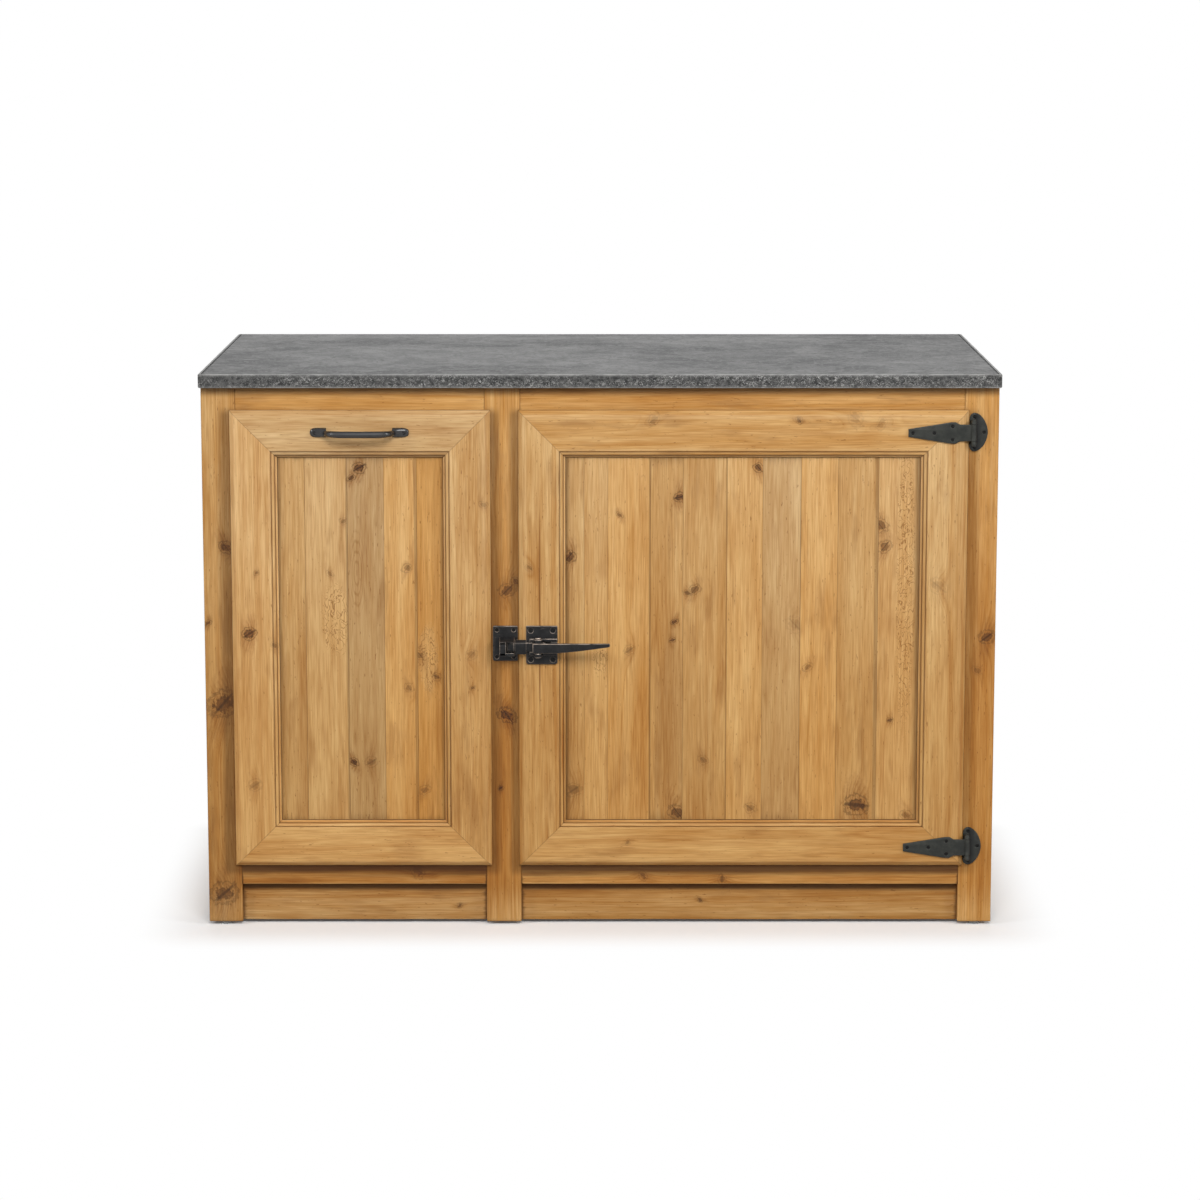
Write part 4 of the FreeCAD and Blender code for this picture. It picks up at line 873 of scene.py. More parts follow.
def slabLevels(foot, top, size):
    # way in from the side, height, share of worn rim and of hewn side, from the foot up
    arris, margin = size["arris"], size["arris"] + size["margin"]
    levels = [(margin, foot, 0, 0), (arris, foot, 0.2, 0.3), (0.3 * arris, foot + 0.3 * arris, 1, 0.9)]
    for share in (0, 0.2, 0.4, 0.6, 0.8, 1):
        levels.append((0, foot + arris + share * (top - foot - 2 * arris), 0.25 if share in (0, 1) else 0, 1))
    return levels + [(0.3 * arris, top - 0.3 * arris, 1, 0.25), (arris, top, 0.75, 0), (margin, top, 0, 0)]


low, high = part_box("worktop")
path = slabPath(low, high, slabSet)
rows, rims, sides = [], [], []
for wayIn, height, rim, side in slabLevels(low[2], high[2], slabSet):
    row = []
    for x, y, outX, outY in path:
        rough = noise.noise(Vector((x * 60, y * 60, height * 80)))
        rough += 0.7 * noise.noise(Vector((x, y, height)) * 190)
        bite = max(0.0, noise.noise(Vector((x * 34 + 5, y * 34, height * 9))) - 0.12)
        back = wayIn + slabSet["hewn"] * side * (0.5 + 0.35 * rough) + slabSet["chip"] * rim * bite
        row.append((x - outX * back, y - outY * back, height))
        rims.append(rim)
        sides.append(side)
    rows.append(row)
points, faces = loft(rows)
count = len(path)
along = [spot for spot, (x, y, outX, outY) in enumerate(path) if abs(outY) > 0.999]
front, behind = along[:len(along) // 2], list(reversed(along[len(along) // 2:]))
for start, way in ((0, -1), (len(points) - count, 1)):   # underside and top, in strips from front to back
    faces.remove(tuple(range(start, start + count))[::way])
    strips = [(front[spot], front[spot + 1], behind[spot + 1], behind[spot])
              for spot in range(len(front) - 1)]
    strips.append(range(front[-1], behind[-1] + 1))
    strips.append([*range(behind[0], count), *range(0, front[0] + 1)])
    faces += [tuple(start + corner for corner in strip)[::way] for strip in strips]
mesh = makeMesh("stone_worktop", points, faces, slabSet["sharp"])
for key, values in (("rim", rims), ("hewn", sides)):
    mesh.attributes.new(key, "FLOAT", "POINT").data.foreach_set("value", values)
place(show("stone_worktop", mesh, stoneFinish("honed_bluestone")), "worktop")
print("slab set")

# blackened ironwork, worked in millimetres
ironLooks = {
    "hinge": {"dark": (0.017, 0.0185, 0.016, 1), "light": (0.032, 0.0335, 0.0285, 1),
              "worn": (0.10, 0.102, 0.09, 1), "wear": 0.6, "rough": 0.50, "shine": 0.28, "pit": 0.16,
              "barrelShade": (593.5, 5.5, 15)},
    "latch": {"dark": (0.007, 0.007, 0.0075, 1), "light": (0.016, 0.016, 0.0165, 1),
              "worn": (0.50, 0.41, 0.34, 1), "wear": 0.9, "rough": 0.42, "shine": 0.22, "pit": 0.12},
    "pull": {"dark": (0.008, 0.008, 0.0085, 1), "light": (0.018, 0.018, 0.019, 1),
             "worn": (0.34, 0.18, 0.10, 1), "wear": 0.6, "rough": 0.17, "shine": 0.55, "pit": 0.015,
             "grip": (-382, 30, 50)},
    "screw": {"dark": (0.003, 0.003, 0.003, 1), "light": (0.008, 0.008, 0.008, 1),
              "worn": (0.07, 0.065, 0.06, 1), "wear": 0.5, "rough": 0.5, "shine": 0.15, "pit": 0.1},
}


def ironFinish(name, look):
    bench = Bench(bpy.data.materials.new(name))
    fade, blend, cloud = bench.fade, bench.blend, bench.cloud
    times, scaled, less = bench.times, bench.scaled, bench.less
    spot = bench.spot()
    scale = cloud(spot, 95, 4, 0.6)
    grit = cloud(spot, 900, 2, 0.6)
    rub = cloud(spot, (60, 260, 260), 3, 0.6)
    # rubbed edges that face up take more of the pale worn colour: real wear, plus a painted highlight where
    # light from above would catch them
    upward = bench.split(bench.node("NewGeometry").outputs["Normal"])[2]
    worn = times(bench.factor("rubbed"), fade(upward, -0.30, 0.35, 0.12, 1.0), fade(rub, 0.26, 0.54),
                 look["wear"])
    colour = blend(fade(scale, 0.32, 0.68), look["dark"], look["light"])
    colour = bench.coats(colour, ((worn, look["worn"]), (times(fade(rub, 0.62, 0.74), 0.10), look["worn"])))
    rough = scaled(worn, -0.1, scaled(less(scale, 0.5), 0.3, look["rough"]), clamp=True)
    across = bench.split(spot)[0]
    if "grip" in look:   # dulled by the hand: middle, inner and outer reach
        middle, near, far = (part * mm for part in look["grip"])
        rough = scaled(fade(bench.apart(across, middle), far, near), 0.32, rough, clamp=True)
    if "barrelShade" in look:   # painted shadow beside the barrel: axis, inner and outer reach
        middle, near, far = (part * mm for part in look["barrelShade"])
        right = less(across, middle)
        barrelShadow = times(fade(right, far, near), fade(right, 1.0 * mm, 3.5 * mm))
        colour = blend(times(barrelShadow, 0.8), colour, ironLooks["screw"]["dark"])
    height = scaled(scale, 1.0, times(grit, 0.25))
    return bench.skin(colour, rough, height, look["pit"], 0.3 * mm, shine=look["shine"],
                      metal=bench.calc("MULTIPLY", worn, 0.8, clamp=True))


iron = {name: ironFinish("black_iron_" + name, look) for name, look in ironLooks.items()}


def neighbours(spots, number):
    return (Vector(spots[(number + step) % len(spots)][:2]) for step in (-1, 0, 1))


def inset(outline, distance):
    # moves a closed outline inward
    moved = []
    for number in range(len(outline)):
        before, here, after = neighbours(outline, number)
        first, second = (here - before).normalized(), (after - here).normalized()
        inward = Vector((-first.y - second.y, first.x + second.x)).normalized()
        spread = max(0.5, math.sqrt((1 + first.dot(second)) / 2))
        moved.append(tuple(here + inward * distance / spread))
    return moved


def ease(corners, steps=5):
    # rounds the corners of an outline given as (x, z, radius)
    line = []
    for number, (x, z, radius) in enumerate(corners):
        if radius <= 0:
            line.append((x, z))
            continue
        before, here, after = neighbours(corners, number)
        first, second = (before - here).normalized(), (after - here).normalized()
        angle = math.acos(max(-1.0, min(1.0, first.dot(second))))
        run = radius / math.tan(angle / 2)
        start, end = here + first * run, here + second * run
        for step in range(steps + 1):
            share = step / steps
            line.append(tuple((1 - share) ** 2 * start + 2 * share * (1 - share) * here + share ** 2 * end))
    return line


def at(x, y, z):
    return Matrix.Translation((x, y, z))


def boxOf(node):
    return [Vector(corner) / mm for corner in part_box(node)]


class Forge:
    # ironwork of one piece, gathered in millimetres; its sharp outer edges show rubbed metal
    rubFrom, rubFull = 22, 8   # degrees: where rubbing begins, and how much more until it is full
    broad = 1.5   # the corners of a face wider than this stay unrubbed

    def __init__(self, name):
        self.name = name
        self.points = []
        self.faces = []

    def add(self, shape, where=Matrix()):
        points, faces = shape
        start = len(self.points)
        self.points += [tuple(where @ Vector(point)) for point in points]
        self.faces += [tuple(start + corner for corner in face) for face in faces]

    def build(self, finish, *stoodFor, sharp=26):
        mesh = makeMesh(self.name, [Vector(point) * mm for point in self.points], self.faces, sharp)
        solid = bmesh.new()
        solid.from_mesh(mesh)
        rubbed = [0.0] * len(solid.verts)
        flats = {vert.index for face in solid.faces for vert in face.verts
                 if face.calc_area() > self.broad * mm * max(edge.calc_length() for edge in face.edges)}
        for edge in solid.edges:   # outer edges are rubbed, the sharper the more
            if len(edge.link_faces) == 2 and edge.is_convex:
                bent = max(0.0, math.degrees(edge.calc_face_angle()) - self.rubFrom)
                sharpness = min(1.0, bent / self.rubFull)
                for vert in edge.verts:
                    if vert.index not in flats:
                        rubbed[vert.index] = max(rubbed[vert.index], sharpness)
        solid.free()
        mesh.attributes.new("rubbed", "FLOAT", "POINT").data.foreach_set("value", rubbed)
        place(show(self.name, mesh, iron[finish]), *stoodFor)


def plateRows(outline, thick, edge):
    # a plate in x and y, its face towards z, with eased edges
    rows = []
    for wayIn, height in ((0.3, 0), (0, 0.3), (0, 0.6), (0, thick - edge),
                          (0.3 * edge, thick - 0.3 * edge), (edge, thick)):
        rows.append([(x, y, height) for x, y in (inset(outline, wayIn) if wayIn else outline)])
    return rows


def plate(outline, thick, edge):
    return loft(plateRows(outline, thick, edge))


def circle(radius, steps):
    return [(radius * math.cos(2 * math.pi * spot / steps), radius * math.sin(2 * math.pi * spot / steps))
            for spot in range(steps)]


sinkSet = {"lip": 0.3, "lipDrop": 0.04, "cone": 0.9, "coneDrop": 1.1, "floor": 0.58, "floorDrop": 1.5,
           "steps": 22}


def boredPlate(outline, thick, edge, holes):
    # a flat plate with countersunk holes given as (x, y, radius)
    steps = sinkSet["steps"]
    points, faces = loft(plateRows(outline, thick, edge))
    faces.pop()
    rim = list(range(len(points) - len(outline), len(points)))
    loops, places = [[Vector(points[spot]) for spot in rim]], list(rim)
    for x, y, radius in holes:
        starts = []
        for wide, drop in ((radius + sinkSet["lip"], 0), (radius, sinkSet["lipDrop"]),
                           (radius - sinkSet["cone"], sinkSet["coneDrop"]),
                           (radius * sinkSet["floor"], sinkSet["floorDrop"])):
            starts.append(len(points))
            points += [(x + right, y + up, thick - drop) for right, up in circle(wide, steps)]
        for first, second in zip(starts, starts[1:]):
            for spot in range(steps):
                after = (spot + 1) % steps
                faces.append((first + spot, first + after, second + after, second + spot))
        faces.append(tuple(range(starts[-1], starts[-1] + steps)))
        mouth = list(reversed(range(starts[0], starts[0] + steps)))
        loops.append([Vector(points[spot]) for spot in mouth])
        places += mouth
    for corners in tessellate_polygon(loops):
        a, b, c = (places[corner] for corner in corners)
        flat = (Vector(points[b]) - Vector(points[a])).cross(Vector(points[c]) - Vector(points[a]))
        faces.append((a, b, c) if flat.z > 0 else (a, c, b))
    return points, faces


def turned(profile, steps=28):
    # a turned piece round z from (radius, height) pairs, foot first
    return loft([[(x, y, height) for x, y in circle(radius, steps)] for radius, height in profile])


def twoEnded(half):
    # a turned profile that is the same above and below, from its upper half
    return [(radius, -height) for radius, height in reversed(half)] + list(half)


def forged(low, high, edge, slope=0.0):
    # a block with softened edges, its roof sloped down to the front
    solid = bmesh.new()
    bmesh.ops.create_cube(solid, size=1)
    middle = (Vector(low) + Vector(high)) / 2
    size = Vector(high) - Vector(low)
    for vert in solid.verts:
        vert.co = middle + Vector(a * b for a, b in zip(vert.co, size))
    bevelled(solid, list(solid.edges), edge)
    for vert in solid.verts:
        if vert.co.z > middle.z:
            vert.co.z -= slope * (high[1] - vert.co.y) / size.y
    return takeShape(solid)


def islands(node):
    # boxes in millimetres of the separate solids of a node
    solid = workCopy(node, 0.005 * mm)
    waiting, boxes = set(solid.verts), []
    while waiting:
        queue = [waiting.pop()]
        group = list(queue)
        while queue:
            for edge in queue.pop().link_edges:
                for vert in edge.verts:
                    if vert in waiting:
                        waiting.discard(vert)
                        queue.append(vert)
                        group.append(vert)
        boxes.append([tuple(pick(vert.co[axis] for vert in group) / mm for axis in range(3))
                      for pick in (min, max)])
    solid.free()
    return sorted(boxes)


def holesIn(node, left, right, foot, top, radius, origin=(0, 0)):
    # countersinks for the screws of a node that stand in a field, measured from an origin
    holes = []
    for low, high in islands(node):
        x, z = (low[0] + high[0]) / 2 - origin[0], (low[2] + high[2]) / 2 - origin[1]
        if left < x < right and foot < z < top:
            holes.append((x, z, radius))
    return holes


faceOut = Matrix.Rotation(math.radians(90), 4, "X")   # x right, y up, z out of the front

# strap hinges: tapered strap, rolled knuckle, half-moon leaf
hingeSet = {"axis": (593.5, -309.25), "levels": {"upper": 806.5, "lower": 131.5}, "knuckle": 4.5, "ear": 6,
            "earFrom": 13.5, "strapFace": -307.75, "leafFace": -296.25, "thick": 3, "strapHole": 3.7,
            "leafHole": 3.3, "webHalf": 2.8, "strapField": (-105, -10, 20), "leafField": (-10, 30, 31),
            "strapEdge": 0.7, "leafEdge": 0.8}
strapHalf = [(-104, 0.8, 0), (-104, 6.2, 0.8), (-36, 17.1, 5), (-29.5, 17.3, 3), (-22, 13.4, 4),
             (-3, 13.1, 0)]   # x, z and rounding from the knuckle's axis
moonSet = {"back": -6, "crown": 2, "right": 23.2, "shoulder": 22, "high": 31, "fall": 1.11, "steps": 6}
webSteps = ((1, 4.3), (7.75, 4.4), (10.25, 5.8), (12.25, 5.9))   # way back from the axis, half width
hingePin = [(2.9, -21.5), (3.5, -20.9), (3.6, -20.2), (3.5, -19.5), (2.5, -19.4), (2.5, 19.4), (3.5, 19.5),
            (3.6, 20.2), (3.4, 21.0), (2.4, 21.4), (0.6, 21.5)]


def mirrored(half):
    # closes an outline drawn above the middle, counter-clockwise
    return [(x, -z, radius) for x, z, radius in half] + list(reversed(half))


def moonHalf(size):
    # upper half of the half-moon: a rounded shoulder, then the long bow
    line = []
    for step in range(size["steps"]):
        angle = math.radians(90 * step / size["steps"])
        line.append((size["crown"] - (size["crown"] - size["back"]) * math.cos(angle),
                     size["shoulder"] + (size["high"] - size["shoulder"]) * math.sin(angle), 0))
    for step in range(size["steps"] + 1):
        angle = math.radians(90 - 85 * step / size["steps"])
        line.append((size["crown"] + (size["right"] - size["crown"]) * math.cos(angle) ** size["fall"],
                     size["high"] * math.sin(angle) ** size["fall"], 0))
    return line


axisX, axisY = hingeSet["axis"]
knuckle, thick = hingeSet["knuckle"], hingeSet["thick"]
roll = twoEnded([(knuckle - 0.08, 5.6), (knuckle, 6), (knuckle, 12.7), (knuckle - 0.6, 13.2)])
earHalf = hingeSet["ear"] / 2
ear = twoEnded([(knuckle, earHalf - 0.7), (knuckle - 0.7, earHalf)])
pins = Forge("iron_hinge_pins")
for side, level in hingeSet["levels"].items():
    strap = Forge("iron_" + side + "_strap")
    left, right, top = hingeSet["strapField"]
    holes = holesIn("door_screws", left, right, -top, top, hingeSet["strapHole"], (axisX, level))
    strap.add(boredPlate(ease(mirrored(strapHalf)), thick, hingeSet["strapEdge"], holes),
              at(axisX, hingeSet["strapFace"], level) @ faceOut)
    strap.add(turned(roll), at(axisX, axisY, level))
    strap.build("hinge", side + "_hinge_strap")
    leaf = Forge("iron_" + side + "_leaf")
    left, right, top = hingeSet["leafField"]
    holes = holesIn("carcass_screws", left, right, -top, top, hingeSet["leafHole"], (axisX, level))
    leaf.add(boredPlate(ease(mirrored(moonHalf(moonSet))), thick, hingeSet["leafEdge"], holes),
             at(axisX, hingeSet["leafFace"], level) @ faceOut)
    for way in (-1, 1):
        middle = level + way * (hingeSet["earFrom"] + earHalf)
        leaf.add(turned(ear), at(axisX, axisY, middle))
        foot, top = middle - hingeSet["webHalf"], middle + hingeSet["webHalf"]
        web = []
        for backward, wide in webSteps:
            left, right, y = axisX - wide, axisX + wide, axisY + backward
            web.append([(left, y, foot), (left, y, top), (right, y, top), (right, y, foot)])
        leaf.add(loft(web))
    leaf.build("hinge", side + "_hinge_leaf")
    pins.add(turned(hingePin), at(axisX, axisY, level))
pins.build("hinge", "hinge_pins")
print("hinges forged")

# lever latch: body on the door, keeper on the centre stile
latchSet = {"pivot": (-99.0, -322.75, 462.0), "doorFace": -307.75, "frameFace": -296.25, "boltFace": -317.05,
            "root": -310.4, "guide": (7.8, 13.8), "guideIn": 5.6, "inside": 0.2, "stopLeft": -79,
            "stopHalf": 8.6, "eye": 7, "eyeBack": -316.2, "eyeThick": 6, "eyeFrom": 8.3, "bodyHole": 4.9,
            "plate": 3, "plateEdge": 0.6}
latchPin = [(3.6, -16.8), (4.7, -16.3), (5, -15.4), (4.8, -14.3), (2.5, -14.2), (2.5, 14.2), (4.8, 14.3),
            (5, 15.4), (4.6, 16.2), (3.2, 16.7), (0.8, 16.8)]
pivotX, pivotY, pivotZ = latchSet["pivot"]
low, high = boxOf("latch_body")
body = Forge("iron_latch_body")
outline = [(low.x, low.z, 5), (high.x, low.z, 5), (high.x, high.z, 1.6), (low.x, high.z, 1.6)]
holes = holesIn("door_screws", low.x, high.x, low.z, high.z, latchSet["bodyHole"])
body.add(boredPlate(ease(outline), latchSet["plate"], latchSet["plateEdge"], holes),
         at(0, latchSet["doorFace"], 0) @ faceOut)
boltFace, root, right = latchSet["boltFace"], latchSet["root"], high.x - latchSet["inside"]
reach = latchSet["eye"]
eye = [(pivotX + reach * math.cos(math.radians(angle)), pivotY + reach * math.sin(math.radians(angle)))
       for angle in range(180, 361, 15)]
eye += [(pivotX + reach, latchSet["eyeBack"]), (pivotX - reach, latchSet["eyeBack"])]
for way in (-1, 1):
    near, far = sorted(pivotZ + way * part for part in latchSet["guide"])
    body.add(forged((low.x + latchSet["guideIn"], boltFace, near), (right, root, far), 1.3))
    foot = latchSet["eyeFrom"] if way > 0 else -latchSet["eyeFrom"] - latchSet["eyeThick"]
    body.add(plate(eye, latchSet["eyeThick"], 1.4), at(0, 0, pivotZ + foot))
body.add(forged((latchSet["stopLeft"], boltFace + 0.05, pivotZ - latchSet["stopHalf"]),
                (right, root, pivotZ + latchSet["stopHalf"]), 0.7))
body.build("latch", "latch_body")

pin = Forge("iron_latch_pin")
pin.add(turned(latchPin), at(pivotX, pivotY, pivotZ))
pin.build("latch", "latch_pin")

leverSet = {"left": -9, "right": 115, "taperFrom": 20, "back": -2, "front": -8, "foot": -8, "top": 8,
            "rise": 10.4, "thin": 1.0, "step": 9, "edge": 1.3, "tail": (2, 3.5, 3)}
leverEnds = ((0, 1.3), (0.6, 0.55), (2, 0))   # way in from either end, ease of the section there
leverHub = twoEnded([(5, 7.4), (4.4, 8)])


def leverRows(size):
    # rounded sections along the lever, tapered and thinned towards its tip
    inner, outer = size["left"] + leverEnds[-1][0], size["right"] - leverEnds[-1][0]
    count = round((outer - inner) / size["step"])
    stations = [(size["left"] + way, eased) for way, eased in leverEnds]
    stations += [(inner + (outer - inner) * step / count, 0) for step in range(1, count)]
    stations += [(size["right"] - way, eased) for way, eased in reversed(leverEnds)]
    rows = []
    for x, eased in stations:
        share = max(0.0, x - size["taperFrom"]) / (size["right"] - size["taperFrom"])
        thin = size["thin"] * share ** 1.5 + eased
        back, front = pivotY + size["back"] - thin, pivotY + size["front"] + thin
        foot, top = pivotZ + size["foot"] + size["rise"] * share ** 1.4 + eased, pivotZ + size["top"] - eased
        half = ((back - front) / 2, (top - foot) / 2)
        radius = min(size["edge"], 0.8 * min(half))
        section = roundedBox(half, ((back + front) / 2, (foot + top) / 2), [radius] * len(boxCorners))
        rows.append([(pivotX + x, y, z) for y, z in section])
    return rows


lever = Forge("iron_latch_lever")
lever.add(loft(leverRows(leverSet)))
lever.add(turned(leverHub), at(pivotX, pivotY, pivotZ))
low, high = boxOf("latch_lever")
wide, start, tall = leverSet["tail"]
lever.add(forged((pivotX - wide, pivotY + start, pivotZ - tall), (pivotX + wide, high.y, pivotZ + tall), 0.7))
lever.build("latch", "latch_lever")

boltSet = {"half": 7.5, "head": 11.4, "shank": (6, 0.8, 0.5), "shoulder": (-136.5, -117.9), "slope": 5.0,
           "dimple": (-123.5, 4.2), "dome": [(1.9, 0), (1.5, 0.35), (0.9, 0.5), (0.3, 0.55)]}
low, high = boxOf("latch_bolt")
bolt = Forge("iron_latch_bolt")
foot, top = pivotZ - boltSet["half"], pivotZ + boltSet["half"]
left, right = boltSet["shoulder"]
bolt.add(forged((low.x, low.y, foot), (low.x + boltSet["head"], high.y, top), 1.3))
along, behind, thin = boltSet["shank"]
bolt.add(forged((low.x + along, low.y + behind, foot + thin), (high.x, high.y, top - thin), 0.8))
bolt.add(forged((left, low.y, low.z), (right, high.y, high.z), 0.9, boltSet["slope"]))
x, rise = boltSet["dimple"]
bolt.add(turned(boltSet["dome"], 14), at(x, low.y + 0.45, pivotZ + rise) @ faceOut)
bolt.build("latch", "latch_bolt")

keeperSet = {"left": -161.0, "right": -137.0, "low": 448.2, "high": 475.8, "wall": 5.0, "cheek": 11.0,
             "root": -298.6, "slope": 4.4, "hole": 3.8}
low, high = boxOf("latch_keeper")
keeper = Forge("iron_latch_keeper")
outline = [(low.x, low.z, 4), (high.x, low.z, 1.6), (high.x, high.z, 1.6), (low.x, high.z, 3)]
holes = holesIn("carcass_screws", low.x, high.x, low.z, high.z, keeperSet["hole"])
keeper.add(boredPlate(ease(outline), latchSet["plate"], latchSet["plateEdge"], holes),
           at(0, latchSet["frameFace"], 0) @ faceOut)
left, right, root, slope = keeperSet["left"], keeperSet["right"], keeperSet["root"], keeperSet["slope"]
foot, top, wall, cheek = keeperSet["low"], keeperSet["high"], keeperSet["wall"], left + keeperSet["cheek"]
keeper.add(forged((left, low.y, top - wall - slope), (cheek, root, top), 1.2, slope))
keeper.add(forged((left, low.y + 0.2, top - wall), (right, root, top), 0.9, slope - 0.2))
keeper.add(forged((left, low.y, foot), (cheek, root, top - slope), 1.6))
keeper.add(forged((left, low.y, foot), (right, root, foot + wall), 0.6))
keeper.build("latch", "latch_keeper")
print("latch forged")

# slotted screw heads, sunk in their countersinks
screwSets = {   # radius of the head, way in from the front of the solid
    "door_screws": (2.9, 1.5), "carcass_screws": (2.9, 1.5), "drawer_pull_screws": (2.6, 0.75),
}
headSet = {"slotHalf": 0.18, "thick": 0.7, "edge": 0.25, "turn": 37,
           "cone": ((0.75, -1.2), (1, 0.05), (0.96, 0.1))}


def screwHead(radius):
    # two half discs beside the slot, and the cone under them
    half = [(radius * math.cos(math.radians(angle)), radius * math.sin(math.radians(angle)))
            for angle in range(12, 169, 12)]
    for way in (0, 180):
        turn = Matrix.Rotation(math.radians(way), 4, "Z") @ at(0, headSet["slotHalf"], 0)
        yield plate(half, headSet["thick"], headSet["edge"]), turn
    yield turned([(share * radius, height) for share, height in headSet["cone"]], 24), Matrix()


for node, (radius, sunk) in screwSets.items():
    heads = Forge("iron_" + node)
    for number, (low, high) in enumerate(islands(node)):
        where = at((low[0] + high[0]) / 2, low[1] + sunk, (low[2] + high[2]) / 2) @ faceOut
        where = where @ Matrix.Rotation(math.radians(headSet["turn"] * number), 4, "Z")
        for shape, turn in screwHead(radius):
            heads.add(shape, where @ turn)
    heads.build("screw", node)

# bow pull: two spoon pads and a round bow
pullSet = {"middle": (-382.0, 807.0), "face": -307.75, "bowHalf": 54.0, "out": 31.9, "bar": 5.35, "root": 5.0,
           "bend": 5.0, "drop": 0.4, "steps": 44}
padSet = {"tip": 78.5, "root": 52.5, "round": 64.0, "half": 7.7, "thin": 1.6, "swell": 3.15, "climb": 4.45,
          "power": 2.9, "steps": 11}


def padRows(size, way):
    # sections of a pad, tip first
    length = size["tip"] - size["root"]
    rows = []
    for step in range(size["steps"] + 1):
        inward = length * (step / size["steps"]) ** 1.9
        x = size["tip"] - inward
        share = max(0.0, x - size["round"]) / (size["tip"] + 0.1 - size["round"])
        tall = size["half"] * (1 - share ** size["power"]) ** (1 / size["power"])
        thick = size["thin"] + size["swell"] * (1 - math.exp(-inward / 2.8))
        thick += size["climb"] * (inward / length) ** 3
        row = []
        for across, rise in circle(1, 20):
            across = math.copysign(abs(across) ** 0.75, across)
            row.append((middleX + way * x, pullSet["face"] - thick * max(0.0, rise) ** 0.8,
                        middleZ + tall * across))
        rows.append(row[::-way])
    return rows


def bowRows(size):
    rows = []
    for step in range(size["steps"] + 1):
        share = 2 * step / size["steps"] - 1
        rise = 1 - abs(share) ** size["bend"]
        depth = size["root"] + (size["out"] - size["bar"] - size["root"]) * rise ** 0.8
        steep = abs(share) ** 4 * size["bend"] * (size["out"] - 10) / size["bowHalf"]
        slope = math.atan2(math.copysign(steep, share), 1.0)
        radius = size["bar"] * (0.86 + 0.14 * rise)
        row = []
        for out, down in circle(radius, 18):
            row.append((middleX + size["bowHalf"] * share + out * math.sin(slope),
                        size["face"] - depth - out * math.cos(slope), middleZ - size["drop"] - down))
        rows.append(row)
    return rows


middleX, middleZ = pullSet["middle"]
pull = Forge("iron_drawer_pull")
for way in (-1, 1):
    pull.add(loft(padRows(padSet, way)))
pull.add(loft(bowRows(pullSet)))
pull.build("pull", "drawer_pull", sharp=40)
print("pull and screws fitted")


# steel: nail-on glides and telescopic slides
def steelFinish(name, tint, rough, brush):
    bench = Bench(bpy.data.materials.new(name))
    spot = bench.spot()
    brushed = bench.cloud(spot, brush, 3, 0.6)
    dull = bench.cloud(spot, 45, 3, 0.6)
    shade = (*(0.8 * part for part in tint), 1)
    colour = bench.blend(bench.fade(brushed, 0.3, 0.7), shade, (*tint, 1))
    colour = bench.blend(bench.times(bench.fade(dull, 0.52, 0.72), 0.35), colour, (0.22, 0.22, 0.21, 1))
    gloss = bench.scaled(bench.less(brushed, 0.5), 0.3, rough, clamp=True)
    return bench.skin(colour, gloss, brushed, 0.15, 0.2 * mm, metal=1.0)


glideDome = ((0.35, 0.0), (0.6, 0.25), (0.82, 1.0), (0.95, 2.2), (1, 3.4), (1, 4.3), (0.93, 5.0))
iron["glide"] = steelFinish("nickel_glide", (0.24, 0.24, 0.23), 0.34, (300, 300, 40))
glides = Forge("steel_foot_glides")
for low, high in islands("foot_glides"):
    radius = (high[0] - low[0]) / 2
    dome = [(share * radius, height) for share, height in glideDome]
    glides.add(turned(dome, 40), at((low[0] + high[0]) / 2, (low[1] + high[1]) / 2, low[2]))
glides.build("glide", "foot_glides", sharp=40)
zinc = steelFinish("zinc_slide", (0.62, 0.63, 0.64), 0.36, (400, 8, 400))
for node in ("slide_cabinet_members", "slide_middle_members", "slide_drawer_members"):
    cadNodes[node].material_slots[0].material = zinc
print("glides and slides done")

# camera as the photograph was taken
cameraSet = {"lens": 106.55, "back": 5.60630, "height": 1.5170, "down": 8.965, "shift": -0.05, "sensor": 36}
optics = bpy.data.cameras.new("front_camera")
optics.sensor_width = cameraSet["sensor"]
optics.lens = cameraSet["lens"]
optics.shift_y = cameraSet["shift"]
camera = bpy.data.objects.new("front_camera", optics)
camera.location = (0, frontPlane * mm - cameraSet["back"], cameraSet["height"])
camera.rotation_euler = (math.radians(90 - cameraSet["down"]), 0, 0)
bpy.context.scene.collection.objects.link(camera)
bpy.context.scene.camera = camera

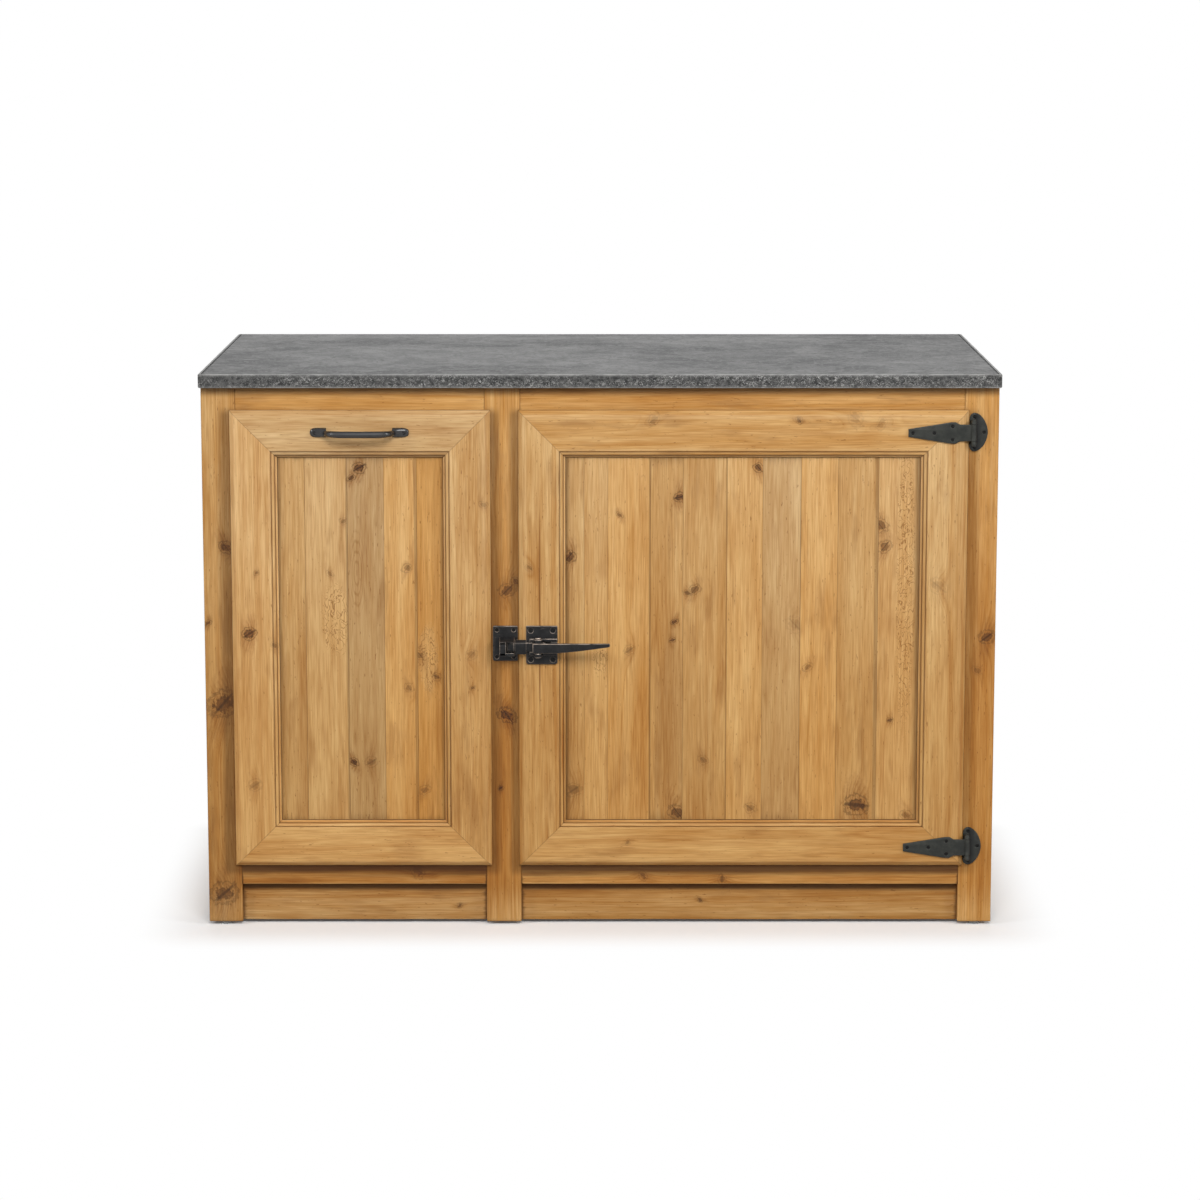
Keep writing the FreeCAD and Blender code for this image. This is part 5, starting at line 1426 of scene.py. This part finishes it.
# soft studio light
lampAim = Vector((0, 0, 0.5))
lampSet = {
    "key": {"at": (0.3, -4.0, 3.3), "size": (2.4, 1.5), "power": 121},
    "leftFill": {"at": (-3.6, -2.0, 2.3), "size": (0.5, 1.4), "power": 46},
    "rightFill": {"at": (3.6, -2.0, 2.3), "size": (0.5, 1.4), "power": 51},
    "rearFill": {"at": (0.0, 3.4, 2.8), "size": (3.0, 2.0), "power": 62},
}
for name, lamp in lampSet.items():
    glow = bpy.data.lights.new("soft_" + name, "AREA")
    glow.shape = "RECTANGLE"
    glow.size, glow.size_y = lamp["size"]
    glow.energy = lamp["power"]
    stand = bpy.data.objects.new("soft_" + name, glow)
    stand.location = lamp["at"]
    stand.rotation_euler = (lampAim - Vector(lamp["at"])).to_track_quat("-Z", "Y").to_euler()
    stand.visible_glossy = name != "rearFill"   # not mirrored in the slab
    bpy.context.scene.collection.objects.link(stand)

skySet = {"fill": 0.27, "seen": 1.0}
white = (1, 1, 1, 1)
sky = Bench(bpy.data.worlds.new("studio"))
level = sky.node("MapRange", {"Value": sky.direct(), "To Min": skySet["fill"], "To Max": skySet["seen"]})
wash = sky.node("Background", {"Color": white, "Strength": level.outputs["Result"]})
bpy.context.scene.world = sky.finish(wash.outputs[0], "OutputWorld")

# pale floor that keeps the shadow and runs out to white
floorSet = {"half": 9, "bounce": (0.55, 0.55, 0.55, 1), "seen": (0.97, 0.97, 0.97, 1),
            "runOut": (-0.02, 0.12)}
ground = Bench(bpy.data.materials.new("pale_floor"))
beside = ground.vec("SUBTRACT", ground.vec("ABSOLUTE", ground.spot()), (cadHigh[0], cadHigh[1], 0))
reach = ground.vec("LENGTH", ground.vec("MAXIMUM", beside, (0, 0, 0)))
direct = ground.direct()
far = ground.times(ground.fade(reach, *floorSet["runOut"]), direct)
paint = ground.node("BsdfDiffuse", {"Color": ground.blend(direct, floorSet["bounce"], floorSet["seen"])})
glow = ground.node("Emission", {"Color": white, "Strength": 1.0})
floorMix = ground.node("MixShader", {"Fac": far, 1: paint.outputs[0], 2: glow.outputs[0]})
half = floorSet["half"]
corners = [(-half, -half, 0), (half, -half, 0), (half, half, 0), (-half, half, 0)]
floorMesh = bpy.data.meshes.new("floor")
floorMesh.from_pydata(corners, [], [(0, 1, 2, 3)])
floor = show("floor", floorMesh, ground.finish(floorMix.outputs[0]))
bpy.context.scene.view_settings.view_transform = "Standard"
print("studio lit")
